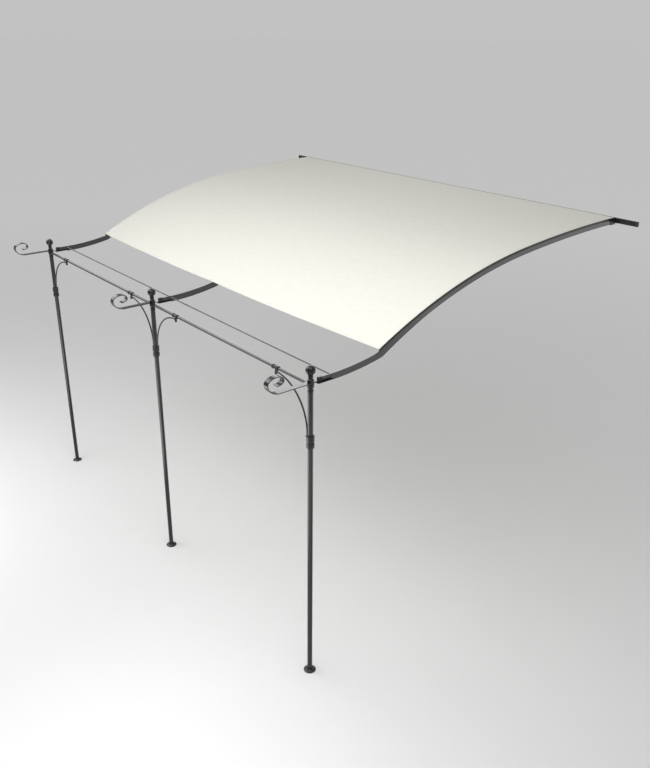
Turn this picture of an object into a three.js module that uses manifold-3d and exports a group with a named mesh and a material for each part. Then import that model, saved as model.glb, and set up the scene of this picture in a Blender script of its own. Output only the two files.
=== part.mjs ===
// Lean-to pergola: three iron posts, a front beam, three curved rafters, a wall rail and a cloth canopy.
// Millimetres, +Z up. X runs along the wall, Y towards it. The origin is under the middle post's foot.

import * as THREE from 'three';
import { mergeVertices } from 'three/addons/utils/BufferGeometryUtils.js';
import Module from 'manifold-3d';

const wasm = await Module();
wasm.setup();

// Layout
const CLEARANCE = 0.3; // gap between pieces that touch
const POST_SPACING = 2000; // between neighbouring post axes
const WALL_DISTANCE = 3200; // from the post axes to the wall

// Posts and feet
const POST_DIAMETER = 36;
const POST_WALL = 2.6;
const POST_LENGTH = 2210;
const SPIGOT_LENGTH = 35; // how far feet and heads reach into a post
const FOOT_DIAMETER = 88;
const FOOT_RIM = 4;
const FOOT_HEIGHT = 18;
const FOOT_LIP = 5; // foot's top edge, proud of the post
const FOOT_HOLE = 7;
const FOOT_HOLES = 3;

// Collars that the braces spring from: bands from the bottom up, each proud of the post
const COLLAR_DROP = 372.6; // from the beam's axis down to the middle of the sleeve
const COLLAR_TAPER = 10;
const COLLAR_RING = 9;
const COLLAR_RING_HEIGHT = 30;
const COLLAR_GROOVE = 4;
const COLLAR_GROOVE_HEIGHT = 8;
const COLLAR_SLEEVE = 9;
const COLLAR_SLEEVE_HEIGHT = 48;
const COLLAR_EDGE = 3; // slope between neighbouring bands

// Post heads and finials
const HEAD_BEAD = 2; // proud of the post
const HEAD_BEAD_HEIGHT = 6;
const HEAD_BEAD_EDGE = 1;
const HEAD_WAIST = 18;
const SOCKET_MARGIN = 5; // metal above and below a beam's socket
const SOCKET_WALL = 5.7; // metal between a beam's end and the stud's bore
const FLARE_EDGE = 3;
const STUD_DIAMETER = 12;
const STUD_SEAT = 22;
const STUD_SPARE = 2; // bore left empty below the stud
const BALL_DIAMETER = 64;
const FINIAL_BASE_DIAMETER = 42;
const FINIAL_BASE_HEIGHT = 15;
const FINIAL_BEAD_DIAMETER = 33;
const FINIAL_BEAD_HEIGHT = 15;
const NECK_DIAMETER = 27;
const NECK_SLOPE = 6; // height between a neck and the wider places above and below it

// Front beam, braces and their clips
const BEAM_DIAMETER = 20;
const BEAM_WALL = 2;
const BEAM_SEAT = 11;
const BRACE_DIAMETER = 12;
const BRACE_TAIL = 15; // brace below its bolt
const BRACE_SPRING = 12; // straight brace above its bolt
const BRACE_BOLT = 6;
const BRACE_BOLT_HEAD = 14;
const BRACE_BOLT_DOME = 7;
const CLIP_OFFSET = 360; // from a post's axis to its clip
const CLIP_LENGTH = 60;
const CLIP_WALL = 3.2;
const CLIP_RING = 2.6;
const CLIP_RING_LENGTH = 8;
const STUB_DIAMETER = 15;
const STUB_GAP = 5.9; // between a clip's rings and the brace below them
const STUB_BALL = 2; // the end ball, proud of the stub

// Scroll brackets: a flat bar over each post head, curled at the front, with a tongue under the rafter.
// The curl is four quarters of ellipses: its rise, its crown, its fall and its eye.
const STRIP_WIDTH = 40;
const STRIP_THICKNESS = 6;
const CURL_START = 244; // from the post's axis to where the bar leaves the level
const CURL_RISE_WIDTH = 93;
const CURL_RISE_HEIGHT = 71;
const CURL_CROWN_WIDTH = 71;
const CURL_CROWN_HEIGHT = 40.5;
const CURL_FALL_WIDTH = 48;
const CURL_FALL_HEIGHT = 35;
const CURL_EYE_WIDTH = 49;
const CURL_EYE_HEIGHT = 25.5;
const JOGGLE_RUN = 25;
const TONGUE_DROP = 16;
const TONGUE_LENGTH = 120; // level part of the tongue

// Rafters: flat bars on edge, a low arm in front of a kink and a two-radius arch behind it. The arch is deeper
// near the kink and carries a raised track that the cloth lies on; its radii are those of the track's upper edge.
const RAFTER_THICKNESS = 8;
const ARM_DEPTH = 45;
const TONGUE_LAP = 29; // depth of the arm above the tongue
const ARM_LEVEL_END = 152;
const ARM_RADIUS = 2090;
const KINK_DISTANCE = 567;
const TRACK_HEIGHT = 14;
const TRACK_SETBACK = 5; // from the kink to the track's front
const ARCH_DEPTH = 36; // below the track
const HAUNCH_DEPTH = 15; // more depth at the kink
const HAUNCH_LENGTH = 430;
const ARCH_START_ANGLE = 28.47;
const ARCH_LOWER_RADIUS = 4000;
const ARCH_JOIN_ANGLE = 6.5;
const ARCH_UPPER_RADIUS = 11330;
const TIE_ROD_DIAMETER = 10;
const TIE_ROD_SETBACK = 75; // from the front shoe to the tie rod's axis
const TIE_ROD_DEPTH = 8.5; // from the arm's upper edge to the tie rod's axis

// Shoes at both ends of a rafter, and their bolts
const SHOE_GAP = 7; // from the joggle to the front shoe
const SHOE_NOSE = 14;
const SHOE_LENGTH = 34;
const SHOE_WALL = 4;
const SHOE_ROOF = 3;
const CROSS_BOLT = 6;
const CROSS_BOLT_FLATS = 10;
const CROSS_BOLT_HEAD = 4;
const TONGUE_SCREW = 6;
const TONGUE_SCREW_FLATS = 10;
const TONGUE_SCREW_HEAD = 4;
const TONGUE_SCREW_SEAT = 16;
const CHEEK_LENGTH = 62;
const CHEEK_GAP = 2.4; // between the rear hem rod and the cheeks below it
const WALL_PLATE_WIDTH = 66;
const WALL_PLATE_THICKNESS = 5;
const PLATE_SCREW_FLATS = 10;
const PLATE_SCREW_HEAD = 4;

// Wall rail
const RAIL_HEIGHT = 40;
const RAIL_DEPTH = 20;
const RAIL_WALL = 2;
const RAIL_OVERHANG = 200;
const RAIL_HOLE = 9;
const PLUG_FACE = 3;
const PLUG_INSERT = 14;

// Canopy and the rods in its hems
const CANOPY_THICKNESS = 2;
const HEM_ROD_DIAMETER = 12;
const FRONT_HEM_SETBACK = 18; // from the rafters' kink to the front rod
const REAR_HEM_GAP = 14.4; // between the rear pocket and the screw heads at the wall
const POCKET_GAP = 8; // between a hem pocket's end and a shoe's side

// Facets
const ROUND = 20;
const BEAM_ROUND = 16;
const SMALL_ROUND = 12;
const HOLE_ROUND = 8;
const HEXAGON = 6;
const DISH_STEPS = 3;
const DOME_STEPS = 3;
const STUB_BALL_STEPS = 4;
const BRACE_SEGMENTS = 5; // for each half of a brace's round section
const ARM_STEPS = 7;
const ARCH_STEPS = 20;
const CURL_STEPS = 7; // for each quarter
const BRACE_STEPS = 16;
const BALL_STEPS = 7;

const radians = THREE.MathUtils.degToRad;

// Levels and places that follow from the sizes above
const postRadius = POST_DIAMETER / 2;
const spigotRadius = postRadius - POST_WALL - CLEARANCE;
const postBase = FOOT_HEIGHT + CLEARANCE;
const postTop = postBase + POST_LENGTH;
const headBase = postTop + CLEARANCE;
const socketEnd = STUD_DIAMETER / 2 + CLEARANCE + SOCKET_WALL;
const flareRadius = socketEnd + BEAM_SEAT;
const flareHeight = BEAM_DIAMETER + 2 * SOCKET_MARGIN;
const headTop = headBase + 2 * HEAD_BEAD_HEIGHT + HEAD_WAIST + flareHeight;
const beamLevel = headTop - flareHeight / 2;
const beamRadius = BEAM_DIAMETER / 2;
const stripLevel = headTop + CLEARANCE + STRIP_THICKNESS / 2;
const finialBase = stripLevel + STRIP_THICKNESS / 2 + CLEARANCE;
const collarLevel = beamLevel - COLLAR_DROP;
const collarReach = postRadius + Math.max(COLLAR_RING, COLLAR_GROOVE, COLLAR_SLEEVE);
const braceInset = collarReach + CLEARANCE + BRACE_DIAMETER / 2;
const clipBore = beamRadius + CLEARANCE;
const clipRadius = clipBore + CLIP_WALL;
const clipRingRadius = clipRadius + CLIP_RING;
const stubRadius = STUB_DIAMETER / 2;
const stubDrop = clipRingRadius + STUB_GAP + BRACE_DIAMETER / 2;
const joggleStart = flareRadius + CLEARANCE;
const joggleEnd = joggleStart + JOGGLE_RUN;
const tongueEnd = joggleEnd + TONGUE_LENGTH;
const tongueTop = stripLevel - TONGUE_DROP + STRIP_THICKNESS / 2;
const shoeFront = joggleEnd + SHOE_GAP;
const shoeBack = shoeFront + SHOE_LENGTH;
const rafterFront = shoeFront + SHOE_NOSE + CLEARANCE;
const rafterSeat = tongueTop + CLEARANCE;
const armLevel = rafterSeat + TONGUE_LAP;
const shoeHalfWidth = RAFTER_THICKNESS / 2 + CLEARANCE + SHOE_WALL;
const railFront = WALL_DISTANCE - RAIL_DEPTH;
const plateBack = railFront - CLEARANCE;
const plateFront = plateBack - WALL_PLATE_THICKNESS;
const rafterEnd = plateFront - CLEARANCE;
const cheekFront = plateFront - CHEEK_LENGTH;
const hemRodRadius = HEM_ROD_DIAMETER / 2;
const pocketRadius = hemRodRadius + CLEARANCE + CANOPY_THICKNESS;
const frontHemDistance = KINK_DISTANCE + FRONT_HEM_SETBACK;
const rearHemDistance = plateFront - PLATE_SCREW_HEAD - REAR_HEM_GAP - pocketRadius;
const rodReach = POST_SPACING + RAFTER_THICKNESS / 2;
const railReach = POST_SPACING + RAIL_OVERHANG;

// A bent bar's upper edge at a distance from the posts: its height and slope
const kinkRun = KINK_DISTANCE - ARM_LEVEL_END;
const kinkLevel = armLevel + ARM_RADIUS - Math.sqrt(ARM_RADIUS ** 2 - kinkRun ** 2);
const archStart = radians(ARCH_START_ANGLE);
const archJoin = radians(ARCH_JOIN_ANGLE);
const lowerCentre = new THREE.Vector2(
  KINK_DISTANCE + (ARCH_LOWER_RADIUS - TRACK_HEIGHT) * Math.sin(archStart),
  kinkLevel - (ARCH_LOWER_RADIUS - TRACK_HEIGHT) * Math.cos(archStart),
);
const upperCentre = new THREE.Vector2(
  lowerCentre.x + (ARCH_UPPER_RADIUS - ARCH_LOWER_RADIUS) * Math.sin(archJoin),
  lowerCentre.y - (ARCH_UPPER_RADIUS - ARCH_LOWER_RADIUS) * Math.cos(archJoin),
);
const joinDistance = lowerCentre.x - ARCH_LOWER_RADIUS * Math.sin(archJoin);

function armEdge(y) {
  const run = Math.max(y - ARM_LEVEL_END, 0);
  const angle = Math.asin(run / ARM_RADIUS);
  return { y, z: armLevel + ARM_RADIUS * (1 - Math.cos(angle)), angle };
}

function archEdge(y) {
  const upper = y > joinDistance;
  const centre = upper ? upperCentre : lowerCentre;
  const radius = upper ? ARCH_UPPER_RADIUS : ARCH_LOWER_RADIUS;
  const angle = Math.asin((centre.x - y) / radius);
  return { y, z: centre.y + radius * Math.cos(angle), angle };
}

// Depth of an arch under the track's upper edge
const archDepth = TRACK_HEIGHT + ARCH_DEPTH;

function haunchedDepth(y) {
  return archDepth + HAUNCH_DEPTH * Math.max(1 - (y - KINK_DISTANCE) / HAUNCH_LENGTH, 0);
}

// The point at a height over (or depth under) an edge, square to it
function offEdge(edge, height) {
  return [edge.y - height * Math.sin(edge.angle), edge.z + height * Math.cos(edge.angle)];
}

function spread(from, to, steps) {
  return Array.from({ length: steps + 1 }, (_, i) => from + ((to - from) * i) / steps);
}

// Solids: closed meshes to join and cut
function solid(geometry) {
  const bare = geometry.clone();
  bare.deleteAttribute('normal');
  bare.deleteAttribute('uv');
  const merged = mergeVertices(bare);
  const corners = merged.index.array;
  const kept = [];
  for (let i = 0; i < corners.length; i += 3) {
    const [a, b, c] = corners.slice(i, i + 3);
    if (a !== b && b !== c && c !== a) kept.push(a, b, c);
  }
  const vertProperties = new Float32Array(merged.attributes.position.array);
  return new wasm.Manifold(new wasm.Mesh({ numProp: 3, vertProperties, triVerts: new Uint32Array(kept) }));
}

function geometryOf(body) {
  const mesh = body.getMesh();
  const geometry = new THREE.BufferGeometry();
  geometry.setAttribute('position', new THREE.BufferAttribute(mesh.vertProperties, 3));
  geometry.setIndex(new THREE.BufferAttribute(mesh.triVerts, 1));
  geometry.computeVertexNormals();
  return geometry;
}

function joined(...geometries) {
  return geometryOf(geometries.map(solid).reduce((a, b) => a.add(b)));
}

function cut(geometry, ...tools) {
  return geometryOf(tools.map(solid).reduce((a, b) => a.subtract(b), solid(geometry)));
}

// Shapes: a turned piece on the Z axis, rods along X, Y and Z, and a bar cut from a Y-Z outline
function turned(profile, facets = ROUND) {
  const points = profile.map(([radius, z]) => new THREE.Vector2(radius, z));
  return new THREE.LatheGeometry(points, facets).rotateX(Math.PI / 2);
}

function rodZ(diameter, from, to, facets = SMALL_ROUND) {
  const radius = diameter / 2;
  return turned([[0, from], [radius, from], [radius, to], [0, to]], facets);
}

function rodX(diameter, from, to, facets = SMALL_ROUND) {
  return rodZ(diameter, from, to, facets).rotateY(Math.PI / 2);
}

function rodY(diameter, from, to, facets = SMALL_ROUND) {
  return rodZ(diameter, from, to, facets).rotateX(-Math.PI / 2);
}

function tubeX(outer, inner, from, to, facets) {
  const [a, b] = [inner / 2, outer / 2];
  return turned([[a, from], [b, from], [b, to], [a, to], [a, from]], facets).rotateY(Math.PI / 2);
}

function box(x0, x1, y0, y1, z0, z1) {
  const geometry = new THREE.BoxGeometry(x1 - x0, y1 - y0, z1 - z0);
  return geometry.translate((x0 + x1) / 2, (y0 + y1) / 2, (z0 + z1) / 2);
}

function barX(outline, from, to, holes = []) {
  const shape = new THREE.Shape(outline.map(([y, z]) => new THREE.Vector2(y, z)));
  for (const hole of holes) shape.holes.push(hole);
  const geometry = new THREE.ExtrudeGeometry(shape, { depth: to - from, bevelEnabled: false });
  const [x, y, z] = [new THREE.Vector3(1, 0, 0), new THREE.Vector3(0, 1, 0), new THREE.Vector3(0, 0, 1)];
  return geometry.applyMatrix4(new THREE.Matrix4().makeBasis(y, z, x)).translate(from, 0, 0);
}

// Diameter over the corners of a hexagon
function hexagon(flats) {
  return flats / Math.cos(Math.PI / HEXAGON);
}

const loose = (diameter) => diameter + 2 * CLEARANCE;

// Foot plate: a dished disc with a spigot for the post and screw holes around it
function footPlate() {
  const [rim, lip] = [FOOT_DIAMETER / 2, postRadius + FOOT_LIP];
  const dish = spread(0, 1, DISH_STEPS).map((t) => [
    rim + (lip - rim) * t,
    FOOT_RIM + (FOOT_HEIGHT - FOOT_RIM) * t ** 2,
  ]);
  const spigotTop = FOOT_HEIGHT + SPIGOT_LENGTH;
  const body = turned([
    [0, 0], [rim, 0], ...dish, [spigotRadius, FOOT_HEIGHT], [spigotRadius, spigotTop], [0, spigotTop],
  ]);
  const holes = spread(0, 2 * Math.PI, FOOT_HOLES).slice(1).map((turn) => {
    const hole = rodZ(FOOT_HOLE, -FOOT_RIM, FOOT_HEIGHT + FOOT_RIM, HOLE_ROUND);
    return hole.translate(0, (rim + lip) / 2, 0).rotateZ(turn);
  });
  return cut(body, ...holes);
}

function postTube() {
  const bore = postRadius - POST_WALL;
  return turned([
    [bore, postBase], [postRadius, postBase], [postRadius, postTop], [bore, postTop], [bore, postBase],
  ]);
}

// Collar: tapered foot, ring, groove and sleeve, bored for the post and for its brace bolts
function collar(sides) {
  const bore = postRadius + CLEARANCE;
  const [ring, groove, sleeve] = [COLLAR_RING, COLLAR_GROOVE, COLLAR_SLEEVE].map((proud) => postRadius + proud);
  const sleeveBottom = collarLevel - COLLAR_SLEEVE_HEIGHT / 2;
  const top = collarLevel + COLLAR_SLEEVE_HEIGHT / 2;
  const ringTop = sleeveBottom - COLLAR_GROOVE_HEIGHT;
  const ringBottom = ringTop - COLLAR_RING_HEIGHT;
  const bottom = ringBottom - COLLAR_TAPER;
  const geometry = turned([
    [bore, bottom], [bore + COLLAR_EDGE, bottom], [ring, ringBottom], [ring, ringTop - COLLAR_EDGE],
    [groove, ringTop], [groove, sleeveBottom], [sleeve, sleeveBottom + COLLAR_EDGE], [sleeve, top - COLLAR_EDGE],
    [sleeve - COLLAR_EDGE, top], [bore, top], [bore, bottom],
  ]);
  const holes = sides.map((side) => rodX(loose(BRACE_BOLT), ...towards(side, 0, 2 * collarReach)));
  return cut(geometry, ...holes.map((hole) => hole.translate(0, 0, collarLevel)));
}

// A stretch along X on one side of a post, from its lower to its higher end
function towards(side, near, far) {
  return side > 0 ? [near, far] : [-far, -near];
}

// Post head: spigot, two beads, a waist and a flare with a socket for each beam and a bore for the stud
function postHead(sides) {
  const bead = postRadius + HEAD_BEAD;
  const groove = headBase + HEAD_BEAD_HEIGHT;
  const waistStart = groove + HEAD_BEAD_HEIGHT;
  const flareStart = waistStart + HEAD_WAIST;
  const geometry = turned([
    [0, headBase - SPIGOT_LENGTH], [spigotRadius, headBase - SPIGOT_LENGTH], [spigotRadius, headBase],
    [bead, headBase], [bead, groove - HEAD_BEAD_EDGE], [postRadius, groove], [bead, groove + HEAD_BEAD_EDGE],
    [bead, waistStart - HEAD_BEAD_EDGE], [postRadius, waistStart], [postRadius, flareStart - FLARE_EDGE],
    [flareRadius, flareStart + FLARE_EDGE], [flareRadius, headTop - FLARE_EDGE],
    [flareRadius - FLARE_EDGE, headTop], [0, headTop],
  ]);
  const bore = rodZ(loose(STUD_DIAMETER), headTop - STUD_SEAT - STUD_SPARE, headTop + STUD_SPARE, ROUND);
  const sockets = sides.map((side) =>
    rodX(loose(BEAM_DIAMETER), ...towards(side, socketEnd, 2 * flareRadius), BEAM_ROUND));
  return cut(geometry, bore, ...sockets.map((socket) => socket.translate(0, 0, beamLevel)));
}

// Finial: stud, round base, bead and ball, with a neck between each and the next
function finial() {
  const studRadius = STUD_DIAMETER / 2;
  const studBottom = headTop - STUD_SEAT;
  const ballRadius = BALL_DIAMETER / 2;
  const baseTop = finialBase + FINIAL_BASE_HEIGHT;
  const baseRadius = FINIAL_BASE_DIAMETER / 2;
  const beadBottom = baseTop + 2 * NECK_SLOPE;
  const beadTop = beadBottom + FINIAL_BEAD_HEIGHT;
  const beadRadius = FINIAL_BEAD_DIAMETER / 2;
  const neckRadius = NECK_DIAMETER / 2;
  const ballStart = Math.asin(neckRadius / ballRadius);
  const ballCentre = beadTop + NECK_SLOPE + ballRadius * Math.cos(ballStart);
  const ball = spread(Math.PI - ballStart, 0, BALL_STEPS).map((polar) => [
    ballRadius * Math.sin(polar), ballCentre + ballRadius * Math.cos(polar)]);
  return turned([
    [0, studBottom], [studRadius, studBottom], [studRadius, finialBase], [baseRadius, finialBase],
    [baseRadius, baseTop], [neckRadius, baseTop + NECK_SLOPE], [beadRadius, beadBottom], [beadRadius, beadTop],
    ...ball,
  ]);
}

// Outline of a bar of even thickness along a line of points
function ribbon(line, thickness) {
  const sides = [1, -1].map((side) => line.map(([y, z], i) => {
    const [before, after] = [line[Math.max(i - 1, 0)], line[Math.min(i + 1, line.length - 1)]];
    const along = new THREE.Vector2(after[0] - before[0], after[1] - before[1]).normalize();
    const half = (side * thickness) / 2;
    return [y - half * along.y, z + half * along.x];
  }));
  return [...sides[0], ...sides[1].reverse()];
}

function scrollBracket() {
  const quarters = [
    [CURL_RISE_WIDTH, CURL_RISE_HEIGHT], [CURL_CROWN_WIDTH, CURL_CROWN_HEIGHT],
    [CURL_FALL_WIDTH, CURL_FALL_HEIGHT], [CURL_EYE_WIDTH, CURL_EYE_HEIGHT],
  ];
  const curl = [[-CURL_START, stripLevel]];
  quarters.forEach(([width, height], k) => {
    const start = (-Math.PI / 2) * (k + 1);
    const [y, z] = curl.at(-1);
    const [centreY, centreZ] = [y - width * Math.cos(start), z - height * Math.sin(start)];
    const angles = spread(start, start - Math.PI / 2, CURL_STEPS).slice(1);
    curl.push(...angles.map((angle) => [centreY + width * Math.cos(angle), centreZ + height * Math.sin(angle)]));
  });
  const tongueLevel = stripLevel - TONGUE_DROP;
  const line = [[tongueEnd, tongueLevel], [joggleEnd, tongueLevel], [joggleStart, stripLevel], ...curl];
  const bar = barX(ribbon(line, STRIP_THICKNESS), -STRIP_WIDTH / 2, STRIP_WIDTH / 2);
  const studHole = rodZ(loose(STUD_DIAMETER), headTop, finialBase, ROUND);
  const [under, over] = [tongueTop - 2 * STRIP_THICKNESS, tongueTop + STRIP_THICKNESS];
  const screwHole = rodZ(loose(TONGUE_SCREW), under, over, HOLE_ROUND);
  return cut(bar, studHole, screwHole.translate(0, shoeFront + SHOE_NOSE / 2, 0));
}

// Slot in a rafter's upper edge that a hem rod lies in
function hemSlot(edge) {
  const radius = loose(HEM_ROD_DIAMETER) / 2;
  const round = spread(Math.PI, 2 * Math.PI, SMALL_ROUND / 2).map((angle) => [
    radius * Math.cos(angle), radius * Math.sin(angle)]);
  const outline = [...round, [radius, HEM_ROD_DIAMETER], [-radius, HEM_ROD_DIAMETER]];
  const [y, z] = hemCentre(edge);
  return barX(outline, -RAFTER_THICKNESS, RAFTER_THICKNESS).rotateX(edge.angle).translate(0, y, z);
}

function hemCentre(edge) {
  return offEdge(edge, -hemRodRadius - CLEARANCE);
}

// Stations that the rafters and the canopy on them share, from hem to hem
const canopyStations = spread(frontHemDistance, rearHemDistance, ARCH_STEPS);
const frontHem = archEdge(frontHemDistance);
const rearHem = archEdge(rearHemDistance);
const tieRodPlace = offEdge(armEdge(shoeBack + TIE_ROD_SETBACK), -TIE_ROD_DEPTH);
const railLevel = archEdge(rafterEnd).z - archDepth / 2;
const undersides = [offEdge(archEdge(cheekFront), -archDepth)[1], railLevel - archDepth / 2];
const cheekFloor = Math.min(...undersides) - CLEARANCE;
const cheekTop = hemCentre(rearHem)[1] - hemRodRadius - CHEEK_GAP;
const frontBoltPlace = [(rafterFront + shoeBack) / 2, rafterSeat + TONGUE_LAP / 2];
const rearBoltPlace = [plateFront - CHEEK_LENGTH / 2, (cheekFloor + cheekTop) / 2];

function rafter() {
  const arm = spread(ARM_LEVEL_END, KINK_DISTANCE, ARM_STEPS).map(armEdge);
  const arch = [KINK_DISTANCE + TRACK_SETBACK, ...canopyStations, rafterEnd].map(archEdge);
  const notchEnd = tongueEnd + CLEARANCE;
  const track = [offEdge(arch[0], -TRACK_HEIGHT), ...arch.map((edge) => [edge.y, edge.z])];
  const upper = [[rafterFront, armLevel], ...arm.map((edge) => [edge.y, edge.z]), ...track];
  const behindNotch = arm.filter((edge) => edge.y > notchEnd);
  const underArm = behindNotch.map((edge) => offEdge(edge, -ARM_DEPTH));
  const underArch = arch.slice(0, -1).map((edge) => offEdge(edge, -haunchedDepth(edge.y)));
  const lower = [
    [notchEnd, rafterSeat], [notchEnd, armEdge(notchEnd).z - ARM_DEPTH], ...underArm, ...underArch,
    [rafterEnd, railLevel - archDepth / 2],
  ];
  const half = RAFTER_THICKNESS / 2;
  const bar = barX([[rafterFront, rafterSeat], ...lower, ...upper.reverse()], -half, half);
  return cut(
    bar, hemSlot(frontHem), hemSlot(rearHem), crossHole(TIE_ROD_DIAMETER, tieRodPlace),
    crossHole(CROSS_BOLT, frontBoltPlace), crossHole(CROSS_BOLT, rearBoltPlace),
  );
}

// Hole along X through a rafter and its shoe
function crossHole(diameter, [y, z]) {
  return rodX(loose(diameter), -2 * shoeHalfWidth, 2 * shoeHalfWidth).translate(0, y, z);
}

// Front shoe: a cap over the rafter's foot, open below where the rafter stands on the tongue
function frontShoe() {
  const roof = armLevel + CLEARANCE + SHOE_ROOF;
  const cap = box(-shoeHalfWidth, shoeHalfWidth, shoeFront, shoeBack, rafterSeat, roof);
  const gap = RAFTER_THICKNESS / 2 + CLEARANCE;
  const below = rafterSeat - SHOE_ROOF;
  const pocket = box(-gap, gap, shoeFront + SHOE_NOSE, shoeBack + SHOE_WALL, below, armLevel + CLEARANCE);
  const screwTop = rafterSeat + TONGUE_SCREW_SEAT + CLEARANCE;
  const screwHole = rodZ(loose(TONGUE_SCREW), below, screwTop, HOLE_ROUND);
  screwHole.translate(0, shoeFront + SHOE_NOSE / 2, 0);
  return cut(cap, pocket, crossHole(CROSS_BOLT, frontBoltPlace), screwHole);
}

// Rear shoe: a wall plate with a trough that the rafter's end lies in, and the heads of its two screws
function rearShoe() {
  const gap = RAFTER_THICKNESS / 2 + CLEARANCE;
  const trough = box(-shoeHalfWidth, shoeHalfWidth, cheekFront, plateFront, cheekFloor - SHOE_WALL, cheekTop);
  const groove = box(-gap, gap, cheekFront - SHOE_WALL, plateFront, cheekFloor, cheekTop + SHOE_WALL);
  const half = WALL_PLATE_WIDTH / 2;
  const [low, high] = [railLevel - RAIL_HEIGHT / 2, railLevel + RAIL_HEIGHT / 2];
  const plate = box(-half, half, plateFront, plateBack, low, high);
  const screwPlace = (half + shoeHalfWidth) / 2;
  const heads = [-screwPlace, screwPlace].map((x) => {
    const head = rodY(hexagon(PLATE_SCREW_FLATS), plateFront - PLATE_SCREW_HEAD, plateBack, HEXAGON);
    return head.translate(x, 0, railLevel);
  });
  return joined(cut(trough, groove, crossHole(CROSS_BOLT, rearBoltPlace)), plate, ...heads);
}

// Bolt across a shoe: hexagon head, shank and nut
function crossBolt([y, z]) {
  const face = shoeHalfWidth + CLEARANCE;
  const ends = [face, -face - CROSS_BOLT_HEAD].map((x) =>
    rodX(hexagon(CROSS_BOLT_FLATS), x, x + CROSS_BOLT_HEAD, HEXAGON));
  const shank = rodX(CROSS_BOLT, -face - CROSS_BOLT_HEAD / 2, face + CROSS_BOLT_HEAD / 2);
  return joined(shank, ...ends).translate(0, y, z);
}

function tongueScrew() {
  const under = tongueTop - STRIP_THICKNESS - CLEARANCE;
  const head = rodZ(hexagon(TONGUE_SCREW_FLATS), under - TONGUE_SCREW_HEAD, under, HEXAGON);
  const shank = rodZ(TONGUE_SCREW, under - TONGUE_SCREW_HEAD / 2, rafterSeat + TONGUE_SCREW_SEAT, HOLE_ROUND);
  return joined(head, shank).translate(0, shoeFront + SHOE_NOSE / 2, 0);
}

// Brace: upright beside its collar, then a quarter bend that ends level at its clip's stub
class BraceLine extends THREE.Curve {
  constructor(side) {
    super();
    this.side = side;
    this.bottom = collarLevel - BRACE_TAIL;
    const run = CLIP_OFFSET - stubRadius - CLEARANCE - braceInset;
    const rise = beamLevel - stubDrop - this.bottom;
    this.radius = Math.min(run, rise - BRACE_TAIL - BRACE_SPRING);
    this.upright = rise - this.radius;
    this.arc = (this.radius * Math.PI) / 2;
    this.level = run - this.radius;
  }

  getPoint(t, target = new THREE.Vector3()) {
    const along = t * (this.upright + this.arc + this.level);
    const angle = THREE.MathUtils.clamp((along - this.upright) / this.radius, 0, Math.PI / 2);
    const level = Math.max(along - this.upright - this.arc, 0);
    const x = braceInset + this.radius * (1 - Math.cos(angle)) + level;
    const z = this.bottom + Math.min(along, this.upright) + this.radius * Math.sin(angle);
    return target.set(this.side * x, 0, z);
  }
}

function brace(side) {
  const section = new THREE.Shape().absarc(0, 0, BRACE_DIAMETER / 2, 0, 2 * Math.PI);
  const extrudePath = new BraceLine(side);
  const options = { steps: BRACE_STEPS, extrudePath, curveSegments: BRACE_SEGMENTS };
  const rod = new THREE.ExtrudeGeometry(section, options);
  const ends = towards(side, braceInset - BRACE_DIAMETER, braceInset + BRACE_DIAMETER);
  return cut(rod, rodX(loose(BRACE_BOLT), ...ends).translate(0, 0, collarLevel));
}

// Bolt through a brace's foot into the collar, with a domed head outside
function braceBolt(side) {
  const tip = postRadius + 2 * CLEARANCE;
  const face = braceInset + BRACE_DIAMETER / 2 + CLEARANCE;
  const shankRadius = BRACE_BOLT / 2;
  const dome = spread(Math.PI / 2, 0, DOME_STEPS).map((angle) => [
    (BRACE_BOLT_HEAD / 2) * Math.sin(angle), face + BRACE_BOLT_DOME * Math.cos(angle)]);
  const bolt = turned([[0, tip], [shankRadius, tip], [shankRadius, face], ...dome], SMALL_ROUND);
  return bolt.rotateY((side * Math.PI) / 2).translate(0, 0, collarLevel);
}

// Clip: a ringed sleeve on the beam with a ball-ended stub below it
function beamClip() {
  const half = CLIP_LENGTH / 2;
  const ringEnd = half - CLIP_RING_LENGTH;
  const sleeve = turned([
    [clipBore, -half], [clipRingRadius, -half], [clipRingRadius, -ringEnd], [clipRadius, -ringEnd],
    [clipRadius, ringEnd], [clipRingRadius, ringEnd], [clipRingRadius, half], [clipBore, half],
    [clipBore, -half],
  ], BEAM_ROUND).rotateY(Math.PI / 2);
  const ballRadius = stubRadius + STUB_BALL;
  const ballEnd = Math.asin(stubRadius / ballRadius);
  const ballCentre = -stubDrop - BRACE_DIAMETER / 2 - ballRadius * Math.cos(ballEnd);
  const ball = spread(Math.PI, ballEnd, STUB_BALL_STEPS).map((polar) => [
    ballRadius * Math.sin(polar), ballCentre + ballRadius * Math.cos(polar)]);
  const stubTop = -clipBore - CLIP_WALL / 2;
  const stub = turned([...ball, [stubRadius, stubTop], [0, stubTop]], SMALL_ROUND);
  return joined(sleeve, stub).translate(0, 0, beamLevel);
}

// Wall rail: a rectangular tube with screw holes through its front and back walls
function wallRail() {
  const outline = rectangle(railFront, WALL_DISTANCE, RAIL_HEIGHT / 2);
  const inside = rectangle(railFront + RAIL_WALL, WALL_DISTANCE - RAIL_WALL, RAIL_HEIGHT / 2 - RAIL_WALL);
  const hollow = new THREE.Path(inside.map(([y, z]) => new THREE.Vector2(y, z)));
  const tube = barX(outline, -railReach, railReach, [hollow]);
  const places = [POST_SPACING / 2, POST_SPACING + RAIL_OVERHANG / 2];
  const holes = places.flatMap((x) => [-x, x]).map((x) => {
    const hole = rodY(RAIL_HOLE, railFront - RAIL_DEPTH, WALL_DISTANCE + RAIL_DEPTH);
    return hole.translate(x, 0, railLevel);
  });
  return cut(tube, ...holes);
}

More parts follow.
